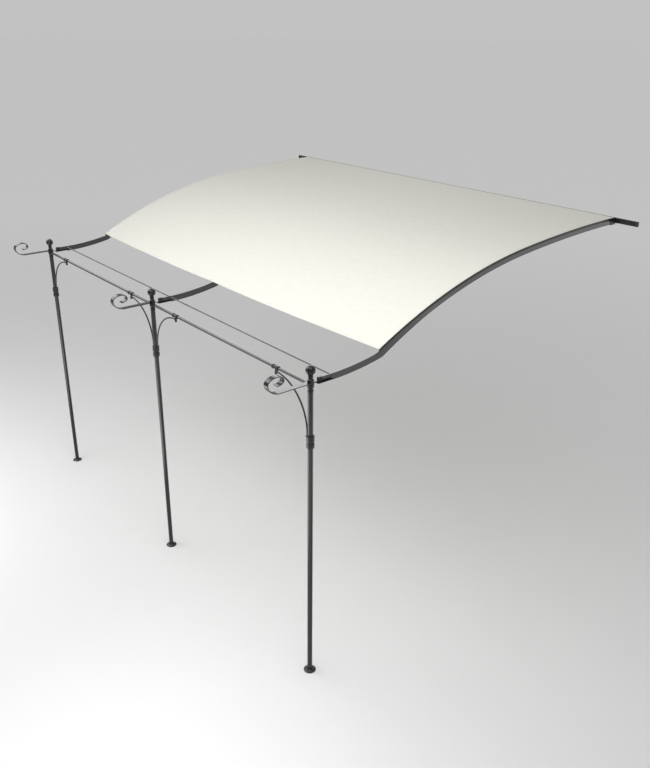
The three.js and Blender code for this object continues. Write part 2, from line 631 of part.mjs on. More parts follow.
function rectangle(front, back, halfHeight) {
  const [low, high] = [railLevel - halfHeight, railLevel + halfHeight];
  return [[front, low], [back, low], [back, high], [front, high]];
}

function railPlug(side) {
  const faceStart = railReach + CLEARANCE;
  const wall = RAIL_WALL + CLEARANCE;
  const face = barX(
    rectangle(railFront, WALL_DISTANCE, RAIL_HEIGHT / 2),
    ...towards(side, faceStart, faceStart + PLUG_FACE),
  );
  const insert = barX(
    rectangle(railFront + wall, WALL_DISTANCE - wall, RAIL_HEIGHT / 2 - wall),
    ...towards(side, railReach - PLUG_INSERT, faceStart + PLUG_FACE / 2),
  );
  return joined(face, insert);
}

// Canopy: one sheet over the rafters, with a pocket around each hem rod between them
function canopy() {
  const line = canopyStations.map(archEdge);
  const under = line.map((edge) => offEdge(edge, CLEARANCE));
  const over = line.map((edge) => offEdge(edge, CLEARANCE + CANOPY_THICKNESS));
  const sheet = barX([...under, ...over.reverse()], -POST_SPACING, POST_SPACING);
  const start = shoeHalfWidth + POCKET_GAP;
  const pockets = [frontHem, rearHem].flatMap((edge) => [-POST_SPACING, 0].map((x) => {
    const ends = [x + start, x + POST_SPACING - start];
    const pocket = tubeX(2 * pocketRadius, loose(HEM_ROD_DIAMETER), ...ends, SMALL_ROUND);
    return pocket.rotateX(edge.angle).translate(0, ...hemCentre(edge));
  }));
  return joined(sheet, ...pockets);
}

function hemRod(edge) {
  return rodX(HEM_ROD_DIAMETER, -rodReach, rodReach).rotateX(edge.angle).translate(0, ...hemCentre(edge));
}

function tieRod() {
  return rodX(TIE_ROD_DIAMETER, -rodReach, rodReach).translate(0, ...tieRodPlace);
}

function frontBeam() {
  const end = socketEnd + CLEARANCE;
  const bore = BEAM_DIAMETER - 2 * BEAM_WALL;
  return tubeX(BEAM_DIAMETER, bore, end, POST_SPACING - end, BEAM_ROUND).translate(0, 0, beamLevel);
}

// Finishes
const iron = new THREE.MeshStandardMaterial({ color: 0x43464a, roughness: 0.45, metalness: 0.6 });
const darkIron = new THREE.MeshStandardMaterial({ color: 0x2b2d30, roughness: 0.4, metalness: 0.6 });
const blackPlastic = new THREE.MeshStandardMaterial({ color: 0x1c1d1e, roughness: 0.5, metalness: 0 });
const cloth = new THREE.MeshStandardMaterial({ color: 0xece8d8, roughness: 0.9, metalness: 0 });

// Assembly
const pergola = new THREE.Group();
pergola.name = 'lean_to_pergola';

function place(parent, name, geometry, material) {
  const mesh = new THREE.Mesh(geometry, material);
  mesh.name = name;
  parent.add(mesh);
}

// Each post's place along the wall, and the sides on which a beam and a brace meet it
const posts = [
  { name: 'left', x: -POST_SPACING, sides: [1] },
  { name: 'middle', x: 0, sides: [-1, 1] },
  { name: 'right', x: POST_SPACING, sides: [-1] },
];

for (const { name, x, sides } of posts) {
  const support = new THREE.Group();
  support.position.x = x;
  pergola.add(support);
  place(support, `foot_plate_${name}`, footPlate(), iron);
  place(support, `post_${name}`, postTube(), iron);
  place(support, `post_collar_${name}`, collar(sides), iron);
  place(support, `post_head_${name}`, postHead(sides), iron);
  place(support, `scroll_bracket_${name}`, scrollBracket(), iron);
  place(support, `finial_${name}`, finial(), iron);
  place(support, `rafter_${name}`, rafter(), iron);
  place(support, `front_shoe_${name}`, frontShoe(), darkIron);
  place(support, `rear_shoe_${name}`, rearShoe(), darkIron);
  place(support, `front_shoe_bolt_${name}`, crossBolt(frontBoltPlace), darkIron);
  place(support, `rear_shoe_bolt_${name}`, crossBolt(rearBoltPlace), darkIron);
  place(support, `tongue_screw_${name}`, tongueScrew(), darkIron);
  for (const side of sides) {
    const corner = sides.length > 1 ? `${name}_${side > 0 ? 'right' : 'left'}_side` : name;
    place(support, `brace_${corner}`, brace(side), iron);
    place(support, `brace_bolt_${corner}`, braceBolt(side), darkIron);
    const clipPlace = new THREE.Group();
    clipPlace.position.x = side * CLIP_OFFSET;
    support.add(clipPlace);
    place(clipPlace, `beam_clip_${corner}`, beamClip(), darkIron);
  }
}

for (const [name, x] of [['left', -POST_SPACING], ['right', 0]]) {
  const bay = new THREE.Group();
  bay.position.x = x;
  pergola.add(bay);
  place(bay, `front_beam_${name}`, frontBeam(), iron);
}

place(pergola, 'tie_rod', tieRod(), iron);
place(pergola, 'wall_rail', wallRail(), darkIron);
place(pergola, 'rail_plug_left', railPlug(-1), blackPlastic);
place(pergola, 'rail_plug_right', railPlug(1), blackPlastic);
place(pergola, 'front_hem_rod', hemRod(frontHem), iron);
place(pergola, 'rear_hem_rod', hemRod(rearHem), iron);
place(pergola, 'canopy', canopy(), cloth);

export default pergola;
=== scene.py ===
"""Lean-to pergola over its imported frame: painted iron, a cloth canopy and studio light.

Metres, +Z up. X runs along the front beam and Y from the posts to the rail behind the canopy, with the
origin under the middle post's foot.
"""
import math

import bmesh
import bpy
from mathutils import Matrix, Vector


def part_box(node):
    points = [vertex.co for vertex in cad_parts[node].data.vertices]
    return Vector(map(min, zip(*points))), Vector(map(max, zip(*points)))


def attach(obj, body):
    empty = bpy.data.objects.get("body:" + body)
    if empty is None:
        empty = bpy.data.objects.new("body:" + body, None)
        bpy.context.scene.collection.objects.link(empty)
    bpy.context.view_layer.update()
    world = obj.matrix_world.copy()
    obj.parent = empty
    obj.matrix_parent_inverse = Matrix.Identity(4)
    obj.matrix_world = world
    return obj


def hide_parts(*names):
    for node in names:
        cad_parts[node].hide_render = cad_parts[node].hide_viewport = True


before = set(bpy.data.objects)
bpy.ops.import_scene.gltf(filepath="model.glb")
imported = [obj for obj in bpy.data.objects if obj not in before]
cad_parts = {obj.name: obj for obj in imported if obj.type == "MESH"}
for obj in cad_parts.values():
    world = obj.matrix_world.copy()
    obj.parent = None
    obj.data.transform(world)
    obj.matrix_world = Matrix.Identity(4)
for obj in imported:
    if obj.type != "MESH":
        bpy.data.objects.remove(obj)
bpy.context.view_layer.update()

# Gap between pieces that touch
CLEARANCE = 0.0003

# Posts and feet
POST_WALL = 0.0026
SPIGOT_LENGTH = 0.035
FOOT_RIM = 0.004
FOOT_HEIGHT = 0.018
FOOT_LIP = 0.005
FOOT_HOLE = 0.007
FOOT_HOLES = 3

# Collars: bands from the bottom up, each proud of the post
COLLAR_TAPER = 0.010
COLLAR_RING = 0.009
COLLAR_RING_HEIGHT = 0.030
COLLAR_GROOVE = 0.004
COLLAR_GROOVE_HEIGHT = 0.008
COLLAR_SLEEVE = 0.009
COLLAR_SLOPE = 0.003
COLLAR_LINE = 0.0008
COLLAR_LINE_PLACES = (0.006, 0.012)

# Post heads and finials
HEAD_BEAD = 0.002
HEAD_BEAD_HEIGHT = 0.006
HEAD_GROOVE = 0.001
HEAD_WAIST = 0.018
FLARE_EDGE = 0.003
STUD_DIAMETER = 0.012
STUD_SEAT = 0.022
STUD_SPARE = 0.002
BALL_DIAMETER = 0.064
FINIAL_BASE_DIAMETER = 0.042
FINIAL_BASE_HEIGHT = 0.015
FINIAL_BEAD_DIAMETER = 0.033
FINIAL_BEAD_HEIGHT = 0.015
NECK_DIAMETER = 0.027
NECK_SLOPE = 0.006

# Beams, braces and clips
BEAM_WALL = 0.002
BEAM_SEAT = 0.011
BRACE_DIAMETER = 0.012
BRACE_TAIL = 0.015
BRACE_BOLT = 0.006
BRACE_BOLT_HEAD = 0.014
BRACE_BOLT_DOME = 0.007
CLIP_WALL = 0.0032
CLIP_RING = 0.0026
CLIP_RING_LENGTH = 0.008
STUB_DIAMETER = 0.015
STUB_GAP = 0.0059
STUB_BALL = 0.002

# Scroll brackets, with a curl of four quarters of ellipses
STRIP_THICKNESS = 0.006
CURL_START = 0.244
CURL_QUARTERS = ((0.093, 0.071), (0.071, 0.0405), (0.048, 0.035), (0.049, 0.0255))
JOGGLE_RUN = 0.025
JOGGLE_BEND = 0.009
TONGUE_DROP = 0.016
TONGUE_LENGTH = 0.120

# Rafters, with the raised track that the cloth lies on
RAFTER_THICKNESS = 0.008
ARM_DEPTH = 0.045
TONGUE_LAP = 0.029
ARM_LEVEL_END = 0.152
ARM_RADIUS = 2.090
KINK_DISTANCE = 0.567
TRACK_HEIGHT = 0.014
TRACK_SETBACK = 0.005
TRACK_PROUD = 0.0006
TRACK_GROOVE = 0.0012
TRACK_GROOVE_EDGES = (0.006, 0.009)
ARCH_DEPTH = 0.036
HAUNCH_DEPTH = 0.015
HAUNCH_LENGTH = 0.430
ARCH_START_ANGLE = 28.47
ARCH_LOWER_RADIUS = 4.0
ARCH_JOIN_ANGLE = 6.5
ARCH_UPPER_RADIUS = 11.330
TIE_ROD_DIAMETER = 0.010
HEM_ROD_DIAMETER = 0.012

# Shoes and fixings
SHOE_NOSE = 0.014
SHOE_WALL = 0.004
CROSS_BOLT = 0.006
CROSS_BOLT_FLATS = 0.010
CROSS_BOLT_HEAD = 0.004
TONGUE_SCREW = 0.006
TONGUE_SCREW_FLATS = 0.010
TONGUE_SCREW_HEAD = 0.004
TONGUE_SCREW_SEAT = 0.016
WALL_PLATE_THICKNESS = 0.005
PLATE_SCREW_FLATS = 0.010
PLATE_SCREW_HEAD = 0.004
HEX_CHAMFER = 0.0009
HEX_FACE_SHARE = 0.98

# Wall rail
RAIL_WALL = 0.002
RAIL_CORNER = 0.0025
RAIL_HOLE = 0.009
RAIL_HOLE_PLACES = (1.0, 2.1)
PLUG_FACE = 0.003

# Canopy: the cloth, its hems and its seams
CLOTH_THICKNESS = 0.0012
BAND_THICKNESS = 0.0007
FRONT_EDGE = 0.574
FRONT_BOW = 0.020
CLOTH_SAG = 0.008
SAG_RAMP = 0.45
LIP_DROOP = 0.007
PUCKER = 0.0006
PUCKER_LENGTH = 0.11
PUCKER_REACH = 0.05
PUCKER_WANDER = 2
PUCKER_WANDER_RATE = 5
POCKET_CLOTH = 0.001
POCKET_GAP = 0.008
POCKET_FRONT_SEAM = 0.0095
POCKET_REAR_SEAM = 0.024
POCKET_FLANGE = 0.008
POCKET_ARC = (190, 330)
SIDE_HEM = 0.028
FRONT_HEM = 0.016
REAR_HEM = 0.034
STITCH_INSET = 0.004
STITCH_PITCH = 0.0055
STITCH_LENGTH = 0.0042
THREAD_DIAMETER = 0.0009

# Rounding of edges and corners, and fineness of round shapes
BAR_EDGE = 0.0008
CAST_EDGE = 0.0014
TURNED_EDGE = 0.0010
EDGE_STEPS = 2
CORNER_STEPS = 3
CORNER_SHARE = 0.45
CORNER_LEAST_TURN = 20
ROUND = 48
SMALL_ROUND = 24
HEXAGON = 6
ARCH_STEPS = 72
ARM_STEPS = 16
CURL_STEPS = 24
BRACE_STEPS = 48
JOGGLE_STEPS = 6
DISH_STEPS = 12
BALL_STEPS = 28
DOME_STEPS = 8
KNOB_STEPS = 16
SLING_STEPS = 18
SLING_CORNER_STEPS = 4
CLOTH_COLUMNS = 264
CLOTH_ROWS = 84
LIP_ROWS = 5
SMOOTH_ANGLE = math.radians(38)
AXIS_RADIUS = CLEARANCE / 10
MERGE_DISTANCE = CLEARANCE / 100

# Photograph's view
VIEW_AZIMUTH = 50.193
VIEW_ELEVATION = 23.919
VIEW_ROLL = -0.606
VIEW_PLACE = (5.604, -2.887, 4.329)
VIEW_FOCAL_PX = 817.57
FRAME_LONG_SIDE_PX = 768
SENSOR = 36.0

# Posts by name, and the sides on which a beam and a brace meet each
POSTS = {"left": (1,), "middle": (-1, 1), "right": (-1,)}


def middle_of(node):
    low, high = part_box(node)
    return (low + high) / 2


def size_of(node):
    low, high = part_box(node)
    return high - low


# Places that the frame gives
post_places = {name: middle_of(f"foot_plate_{name}").x for name in POSTS}
post_spacing = post_places["right"] - post_places["middle"]
post_radius = size_of("post_middle").x / 2
post_base, post_top = (corner.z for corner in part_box("post_middle"))
spigot_radius = post_radius - POST_WALL - CLEARANCE
foot_radius = size_of("foot_plate_middle").x / 2
collar_bottom, collar_top = (corner.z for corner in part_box("post_collar_middle"))
collar_ring_bottom = collar_bottom + COLLAR_TAPER
collar_ring_top = collar_ring_bottom + COLLAR_RING_HEIGHT
sleeve_bottom = collar_ring_top + COLLAR_GROOVE_HEIGHT
collar_level = (sleeve_bottom + collar_top) / 2
head_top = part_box("post_head_middle")[1].z
flare_radius = size_of("post_head_middle").x / 2
beam_level = middle_of("front_beam_left").z
beam_radius = size_of("front_beam_left").z / 2
strip_width = size_of("scroll_bracket_middle").x
strip_level = head_top + CLEARANCE + STRIP_THICKNESS / 2
finial_base = strip_level + STRIP_THICKNESS / 2 + CLEARANCE
brace_inset = post_radius + COLLAR_SLEEVE + CLEARANCE + BRACE_DIAMETER / 2
clip_offset = middle_of("beam_clip_left").x - post_places["left"]
clip_bore = beam_radius + CLEARANCE
clip_radius = clip_bore + CLIP_WALL
clip_ring_radius = clip_radius + CLIP_RING
stub_radius = STUB_DIAMETER / 2
stub_drop = clip_ring_radius + STUB_GAP + BRACE_DIAMETER / 2
joggle_start = flare_radius + CLEARANCE
joggle_end = joggle_start + JOGGLE_RUN
tongue_end = joggle_end + TONGUE_LENGTH
tongue_level = strip_level - TONGUE_DROP
rafter_seat = tongue_level + STRIP_THICKNESS / 2 + CLEARANCE
arm_level = rafter_seat + TONGUE_LAP
rafter_front, rafter_end = (corner.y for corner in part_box("rafter_middle"))
shoe_low, shoe_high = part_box("front_shoe_middle")
tongue_screw_place = shoe_low.y + SHOE_NOSE / 2
rear_low, rear_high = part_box("rear_shoe_middle")
plate_front = rear_high.y - WALL_PLATE_THICKNESS
rail_low, rail_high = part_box("wall_rail")
rail_level = middle_of("wall_rail").z
canopy_half = size_of("canopy").x / 2
rear_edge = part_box("canopy")[1].y
rod_places = {name: middle_of(f"{name}_hem_rod") for name in ("front", "rear")}
hem_rod_radius = HEM_ROD_DIAMETER / 2


# Shape of the rafters: a bar's upper edge at a distance from the posts, its height and its slope
def inward(angle):
    """Direction to the centre of an arch, from where its slope has an angle."""
    return Vector((math.sin(angle), -math.cos(angle)))


kink_level = arm_level + ARM_RADIUS - math.sqrt(ARM_RADIUS**2 - (KINK_DISTANCE - ARM_LEVEL_END) ** 2)
arch_start = math.radians(ARCH_START_ANGLE)
arch_join = math.radians(ARCH_JOIN_ANGLE)
bar_radius = ARCH_LOWER_RADIUS - TRACK_HEIGHT
lower_centre = Vector((KINK_DISTANCE, kink_level)) + bar_radius * inward(arch_start)
upper_centre = lower_centre + (ARCH_UPPER_RADIUS - ARCH_LOWER_RADIUS) * inward(arch_join)
join_distance = lower_centre.x - ARCH_LOWER_RADIUS * math.sin(arch_join)


def arm_edge(y):
    angle = math.asin(max(y - ARM_LEVEL_END, 0) / ARM_RADIUS)
    return y, arm_level + ARM_RADIUS * (1 - math.cos(angle)), angle


def arch_edge(y):
    upper = y > join_distance
    centre = upper_centre if upper else lower_centre
    radius = ARCH_UPPER_RADIUS if upper else ARCH_LOWER_RADIUS
    angle = math.asin((centre.x - y) / radius)
    return y, centre.y + radius * math.cos(angle), angle


def arch_length(y):
    """Length along the arch from the kink to a distance from the posts."""
    angle = arch_edge(y)[2]
    lower = ARCH_LOWER_RADIUS * (arch_start - max(angle, arch_join))
    return lower + ARCH_UPPER_RADIUS * max(arch_join - angle, 0)


def haunched_depth(y):
    """Depth of an arch under its track's upper edge, greater near the kink."""
    return TRACK_HEIGHT + ARCH_DEPTH + HAUNCH_DEPTH * max(1 - (y - KINK_DISTANCE) / HAUNCH_LENGTH, 0)


def off_edge(edge, height):
    """The point at a height over (or depth under) an edge, square to it."""
    y, z, angle = edge
    return y - height * math.sin(angle), z + height * math.cos(angle)


def spread(start, end, steps):
    return [start + (end - start) * i / steps for i in range(steps + 1)]


def arc(centre, radius, start, end, steps):
    angles = spread(math.radians(start), math.radians(end), steps)
    return [(centre[0] + radius * math.cos(a), centre[1] + radius * math.sin(a)) for a in angles]


def loose(diameter):
    return diameter + 2 * CLEARANCE


def on_side(side, near, far):
    """A stretch of X on one side of the middle, between two distances from it."""
    return sorted((side * near, side * far))


# Mesh making
def solid(corners, faces):
    mesh = bmesh.new()
    made = [mesh.verts.new(corner) for corner in corners]
    for face in faces:
        mesh.faces.new([made[i] for i in face])
    bmesh.ops.recalc_face_normals(mesh, faces=mesh.faces)
    return mesh


def rounded(points, radius, closed=False, steps=CORNER_STEPS):
    """A line with small curves at its corners, where they turn by CORNER_LEAST_TURN degrees or more."""
    count = len(points)
    line = []
    for i, point in enumerate(points):
        if not closed and i in (0, count - 1):
            line.append(point)
            continue
        here = Vector(point)
        before = Vector(points[i - 1]) - here
        after = Vector(points[(i + 1) % count]) - here
        if 180 - math.degrees(before.angle(after)) < CORNER_LEAST_TURN:
            line.append(point)
            continue
        reach = min(radius, CORNER_SHARE * before.length, CORNER_SHARE * after.length)
        start, end = here + before.normalized() * reach, here + after.normalized() * reach
        for t in spread(0, 1, steps):
            line.append(tuple(start * (1 - t) ** 2 + here * 2 * t * (1 - t) + end * t**2))
    return line


def turned(profile, closed=False, segments=ROUND):
    """A profile of (radius, height) pairs turned around Z."""
    corners, rings = [], []
    for radius, height in profile:
        copies = 1 if radius < AXIS_RADIUS else segments
        rings.append([len(corners) + k for k in range(copies)])
        for k in range(copies):
            angle = 2 * math.pi * k / segments
            corners.append((radius * math.cos(angle), radius * math.sin(angle), height))
    faces = []
    for low, high in zip(rings, rings[1:] + rings[:1] if closed else rings[1:]):
        for k in range(segments):
            walk = ((low, k), (low, k + 1), (high, k + 1), (high, k))
            face = tuple(dict.fromkeys(ring[i % len(ring)] for ring, i in walk))
            if len(face) > 2:
                faces.append(face)
    return solid(corners, faces)


def rod(diameter, start, end, segments=SMALL_ROUND, edge=0.0):
    radius = diameter / 2
    return turned(rounded([(0, start), (radius, start), (radius, end), (0, end)], edge), segments=segments)


def loose_hole(diameter, start, end):
    """What a hole for a rod or bolt takes out."""
    return rod(loose(diameter), start, end)


def plate(outline, near, far, edge=BAR_EDGE):
    """A bar cut from an outline of (y, z) pairs, from one x to another, with eased edges."""
    count = len(outline)
    corners = [(x, y, z) for x in (near, far) for y, z in outline]
    faces = [tuple(range(count)), tuple(range(count, 2 * count))]
    faces += [(i, (i + 1) % count, count + (i + 1) % count, count + i) for i in range(count)]
    mesh = solid(corners, faces)
    mesh.faces.ensure_lookup_table()
    rim = [side for face in mesh.faces[:2] for side in face.edges]
    ease(mesh, rim, edge)
    return mesh


def block(low, high, edge=CAST_EDGE):
    corners = [(x, y, z) for x in (low[0], high[0]) for y in (low[1], high[1]) for z in (low[2], high[2])]
    faces = [(0, 1, 3, 2), (4, 6, 7, 5), (0, 4, 5, 1), (2, 3, 7, 6), (0, 2, 6, 4), (1, 5, 7, 3)]
    mesh = solid(corners, faces)
    ease(mesh, mesh.edges[:], edge)
    return mesh


def ease(mesh, sides, edge):
    if edge:
        bmesh.ops.bevel(
            mesh, geom=sides, offset=edge, offset_type="OFFSET", segments=EDGE_STEPS, profile=0.5,
            affect="EDGES", clamp_overlap=True,
        )


def placed(mesh, *, turn=0.0, axis="Z", at=(0, 0, 0)):
    """Turn a mesh about an axis (degrees) and move it."""
    matrix = Matrix.Translation(at) @ Matrix.Rotation(math.radians(turn), 4, axis)
    bmesh.ops.transform(mesh, matrix=matrix, verts=mesh.verts)
    return mesh


def along_x(mesh, at=(0, 0, 0)):
    return placed(mesh, turn=90, axis="Y", at=at)


def joined(*meshes):
    whole = meshes[0]
    for other in meshes[1:]:
        data = bpy.data.meshes.new("joining")
        other.to_mesh(data)
        other.free()
        whole.from_mesh(data)
        bpy.data.meshes.remove(data)
    return whole


def loose_object(name, mesh):
    data = bpy.data.meshes.new(name)
    mesh.to_mesh(data)
    mesh.free()
    obj = bpy.data.objects.new(name, data)
    bpy.context.collection.objects.link(obj)
    return obj


def modified(obj, **options):
    """The mesh data that an object's modifiers make."""
    depsgraph = bpy.context.evaluated_depsgraph_get()
    return bpy.data.meshes.new_from_object(obj.evaluated_get(depsgraph), depsgraph=depsgraph, **options)


def finished_mesh(obj):
    """The mesh that an object's modifiers make, with the object then removed."""
    data = modified(obj)
    mesh = bmesh.new()
    mesh.from_mesh(data)
    bpy.data.meshes.remove(data)
    bpy.data.objects.remove(obj)
    return mesh


def carved(body, *tools, operation="DIFFERENCE"):
    base = loose_object("body", body)
    cutters = [loose_object("tool", tool) for tool in tools]
    for cutter in cutters:
        cut = base.modifiers.new("cut", "BOOLEAN")
        cut.operation = operation
        cut.solver = "EXACT"
        cut.object = cutter
    mesh = finished_mesh(base)
    for cutter in cutters:
        bpy.data.objects.remove(cutter)
    return mesh


# Nodes, whose sockets are given by name or number
def feed(tree, node, sockets):
    """Link a node's sockets to outputs of others, or set them to values."""
    for name, value in sockets.items():
        socket = node.inputs[name]
        if isinstance(value, bpy.types.NodeSocket):
            tree.links.new(value, socket)
        else:
            socket.default_value = value


def put(tree, kind, sockets=None, **settings):
    """A new node in a tree."""
    made = tree.nodes.new(kind)
    for name, value in settings.items():
        setattr(made, name, value)
    feed(tree, made, sockets or {})
    return made


def math_node(tree, operation, *values):
    return put(tree, "ShaderNodeMath", dict(enumerate(values)), operation=operation).outputs[0]


def mixed(tree, factor, first, second):
    """Colour between two others."""
    node = put(tree, "ShaderNodeMix", {0: factor, 6: first, 7: second}, data_type="RGBA")
    return node.outputs[2]


def ranged(tree, value, low, high, start, end):
    sockets = {"Value": value, "From Min": low, "From Max": high, "To Min": start, "To Max": end}
    return put(tree, "ShaderNodeMapRange", sockets).outputs[0]


def noise(tree, place, scale, detail):
    sockets = {"Vector": place, "Scale": scale, "Detail": detail}
    return put(tree, "ShaderNodeTexNoise", sockets).outputs[0]


def per_metre(tree, size):
    """How many of a size lie along a metre."""
    return math_node(tree, "DIVIDE", 1.0, size)


SOCKETS = {
    "colour": "NodeSocketColor", "value": "NodeSocketFloat", "vector": "NodeSocketVector",
    "geometry": "NodeSocketGeometry", "material": "NodeSocketMaterial", "object": "NodeSocketObject",
}


def node_group(name, kind, inputs, outputs):
    """A new group with named sockets: its tree, the inputs' sockets and the output node."""
    tree = bpy.data.node_groups.new(name, kind)
    for label, sort in inputs.items():
        tree.interface.new_socket(label, in_out="INPUT", socket_type=SOCKETS[sort])
    for label, sort in outputs.items():
        tree.interface.new_socket(label, in_out="OUTPUT", socket_type=SOCKETS[sort])
    return tree, put(tree, "NodeGroupInput").outputs, put(tree, "NodeGroupOutput")


# Shared surface effects: the stretches of noise or slope that they take in, and how strongly they show
NOISE_RANGE = (0.3, 0.7)
CLOUD_RANGE = (0.35, 0.7)
DUST_SLOPES = (0.4, 1.0)
DUST_PATCHES = (0.4, 0.75)
SLUB_RANGE = (0.3, 0.75)
SLUB_SHADE = 0.5
WEAVE_SHADE = 0.35
CLOTH_ROUGHNESS = (0.78, 0.92)


def paint_film_group():
    """Sprayed paint: cloudy colour, uneven gloss and a fine orange peel."""
    inputs = {"Colour": "colour", "Cloud Colour": "colour", "Cloud Size": "value", "Peel Size": "value",
              "Gloss Low": "value", "Gloss High": "value"}
    outputs = {"Colour": "colour", "Roughness": "value", "Height": "value"}
    tree, given, result = node_group("paint_film", "ShaderNodeTree", inputs, outputs)
    place = put(tree, "ShaderNodeTexCoord").outputs["Object"]
    cloud = noise(tree, place, per_metre(tree, given["Cloud Size"]), detail=4.0)
    peel = noise(tree, place, per_metre(tree, given["Peel Size"]), detail=2.0)
    share = ranged(tree, cloud, *CLOUD_RANGE, 0.0, 1.0)
    feed(tree, result, {
        "Colour": mixed(tree, share, given["Colour"], given["Cloud Colour"]),
        "Roughness": ranged(tree, cloud, *NOISE_RANGE, given["Gloss Low"], given["Gloss High"]),
        "Height": peel,
    })
    return tree


def settled_dust_group():
    """A little pale dust on faces that look up, in uneven patches."""
    inputs = {"Colour": "colour", "Dust Colour": "colour", "Amount": "value", "Patch Size": "value"}
    tree, given, result = node_group("settled_dust", "ShaderNodeTree", inputs, {"Colour": "colour"})
    place = put(tree, "ShaderNodeTexCoord").outputs["Object"]
    normal = put(tree, "ShaderNodeNewGeometry").outputs["Normal"]
    height = put(tree, "ShaderNodeSeparateXYZ", {0: normal}).outputs["Z"]
    patch = noise(tree, place, per_metre(tree, given["Patch Size"]), detail=5.0)
    upward = ranged(tree, height, *DUST_SLOPES, 0.0, 1.0)
    patches = math_node(tree, "MULTIPLY", upward, ranged(tree, patch, *DUST_PATCHES, 0.0, 1.0))
    share = math_node(tree, "MULTIPLY", patches, given["Amount"])
    feed(tree, result, {"Colour": mixed(tree, share, given["Colour"], given["Dust Colour"])})
    return tree


def plain_weave_group():
    """Threads that cross over and under each other, on the cloth's own flat measure, with painted shade in
    the hollows between them.
    """
    inputs = {"Colour": "colour", "Shade Colour": "colour", "Thread Pitch": "value", "Slub Size": "value"}
    outputs = {"Colour": "colour", "Roughness": "value", "Height": "value"}
    tree, given, result = node_group("plain_weave", "ShaderNodeTree", inputs, outputs)
    flat = put(tree, "ShaderNodeUVMap").outputs[0]
    parts = put(tree, "ShaderNodeSeparateXYZ", {0: flat})
    wave = math_node(tree, "DIVIDE", math.pi, given["Thread Pitch"])
    crowns = []
    for part in ("X", "Y"):
        phase = math_node(tree, "MULTIPLY", parts.outputs[part], wave)
        crowns.append(math_node(tree, "ABSOLUTE", math_node(tree, "SINE", phase)))
    count = per_metre(tree, given["Thread Pitch"])
    over = put(tree, "ShaderNodeTexChecker", {"Vector": flat, "Scale": count}).outputs["Fac"]
    weave = put(tree, "ShaderNodeMix", {0: over, 2: crowns[0], 3: crowns[1]}).outputs[0]
    slub = noise(tree, flat, per_metre(tree, given["Slub Size"]), detail=6.0)
    # Painted shade: the hollows between the threads are mixed towards the shade colour, and slub patches
    # add an uneven tone.
    depth = math_node(tree, "MULTIPLY", math_node(tree, "SUBTRACT", 1.0, weave), WEAVE_SHADE)
    shade = math_node(tree, "ADD", depth, ranged(tree, slub, *SLUB_RANGE, 0.0, SLUB_SHADE))
    feed(tree, result, {
        "Colour": mixed(tree, shade, given["Colour"], given["Shade Colour"]),
        "Roughness": ranged(tree, slub, *NOISE_RANGE, *CLOTH_ROUGHNESS),
        "Height": weave,
    })
    return tree


PAINT_FILM = paint_film_group()
SETTLED_DUST = settled_dust_group()
PLAIN_WEAVE = plain_weave_group()

# Finishes
BLUE_TRACE = 0.001
CLOUD_SIZE = 0.06
PEEL_SIZE = 0.0022
PEEL_STRENGTH = 0.15
PEEL_DEPTH = 0.0003
DUST_COLOUR = (0.36, 0.34, 0.30, 1)
DUST_PATCH_SIZE = 0.05
THREAD_PITCH = 0.0011
WEAVE_DEPTH = 0.0002
SEWING_COLOURS = ((0.56, 0.55, 0.49, 1), (0.72, 0.70, 0.63, 1))
SEWING_ROUGHNESS = (0.5, 0.65)
TWISTS_PER_METRE = 1800.0
TWIST_STRENGTH = 0.3
TWIST_DEPTH = 0.0002


def spaced(labels):
    """Names of sockets as the nodes write them, with spaces."""
    return {label.replace("_", " "): value for label, value in labels.items()}


def finish(name, **constants):
    """A new material: it, its tree and its shader, with the sockets that are even all over set."""
    material = bpy.data.materials.new(name)
    material.use_nodes = True
    tree = material.node_tree
    shader = tree.nodes["Principled BSDF"]
    feed(tree, shader, spaced(constants))
    return material, tree, shader


def use_group(tree, group, **values):
    return put(tree, "ShaderNodeGroup", spaced(values), node_tree=group)


def coat(tree, shader, colour, roughness, height, strength, depth):
    """Link a colour, a roughness and a fine relief to a shader."""
    relief = put(tree, "ShaderNodeBump", {"Strength": strength, "Distance": depth, "Height": height})
    feed(tree, shader, {"Base Color": colour, "Roughness": roughness, "Normal": relief.outputs[0]})


def near_black(tone):
    """Dark grey with a trace of blue."""
    return tone, tone, tone + BLUE_TRACE, 1


def painted(name, colour, cloud, gloss, dust, peel=PEEL_SIZE, **constants):
    """Sprayed paint with a little dust: gloss is its lowest and highest roughness."""
    material, tree, shader = finish(name, **constants)
    film = use_group(
        tree, PAINT_FILM, Colour=colour, Cloud_Colour=cloud, Cloud_Size=CLOUD_SIZE, Peel_Size=peel,
        Gloss_Low=gloss[0], Gloss_High=gloss[1],
    ).outputs
    dusty = use_group(
        tree, SETTLED_DUST, Colour=film["Colour"], Dust_Colour=DUST_COLOUR, Amount=dust,
        Patch_Size=DUST_PATCH_SIZE,
    ).outputs
    coat(tree, shader, dusty["Colour"], film["Roughness"], film["Height"], PEEL_STRENGTH, PEEL_DEPTH)
    return material


def woven(name, colour, shade, slub, relief):
    """Plain cloth: slub is the size of its uneven patches, and relief the strength of its threads."""
    material, tree, shader = finish(name, Sheen_Weight=0.05, Sheen_Roughness=0.5, Specular_IOR_Level=0.1)
    weave = use_group(
        tree, PLAIN_WEAVE, Colour=colour, Shade_Colour=shade, Thread_Pitch=THREAD_PITCH, Slub_Size=slub,
    ).outputs
    coat(tree, shader, weave["Colour"], weave["Roughness"], weave["Height"], relief, WEAVE_DEPTH)
    return material


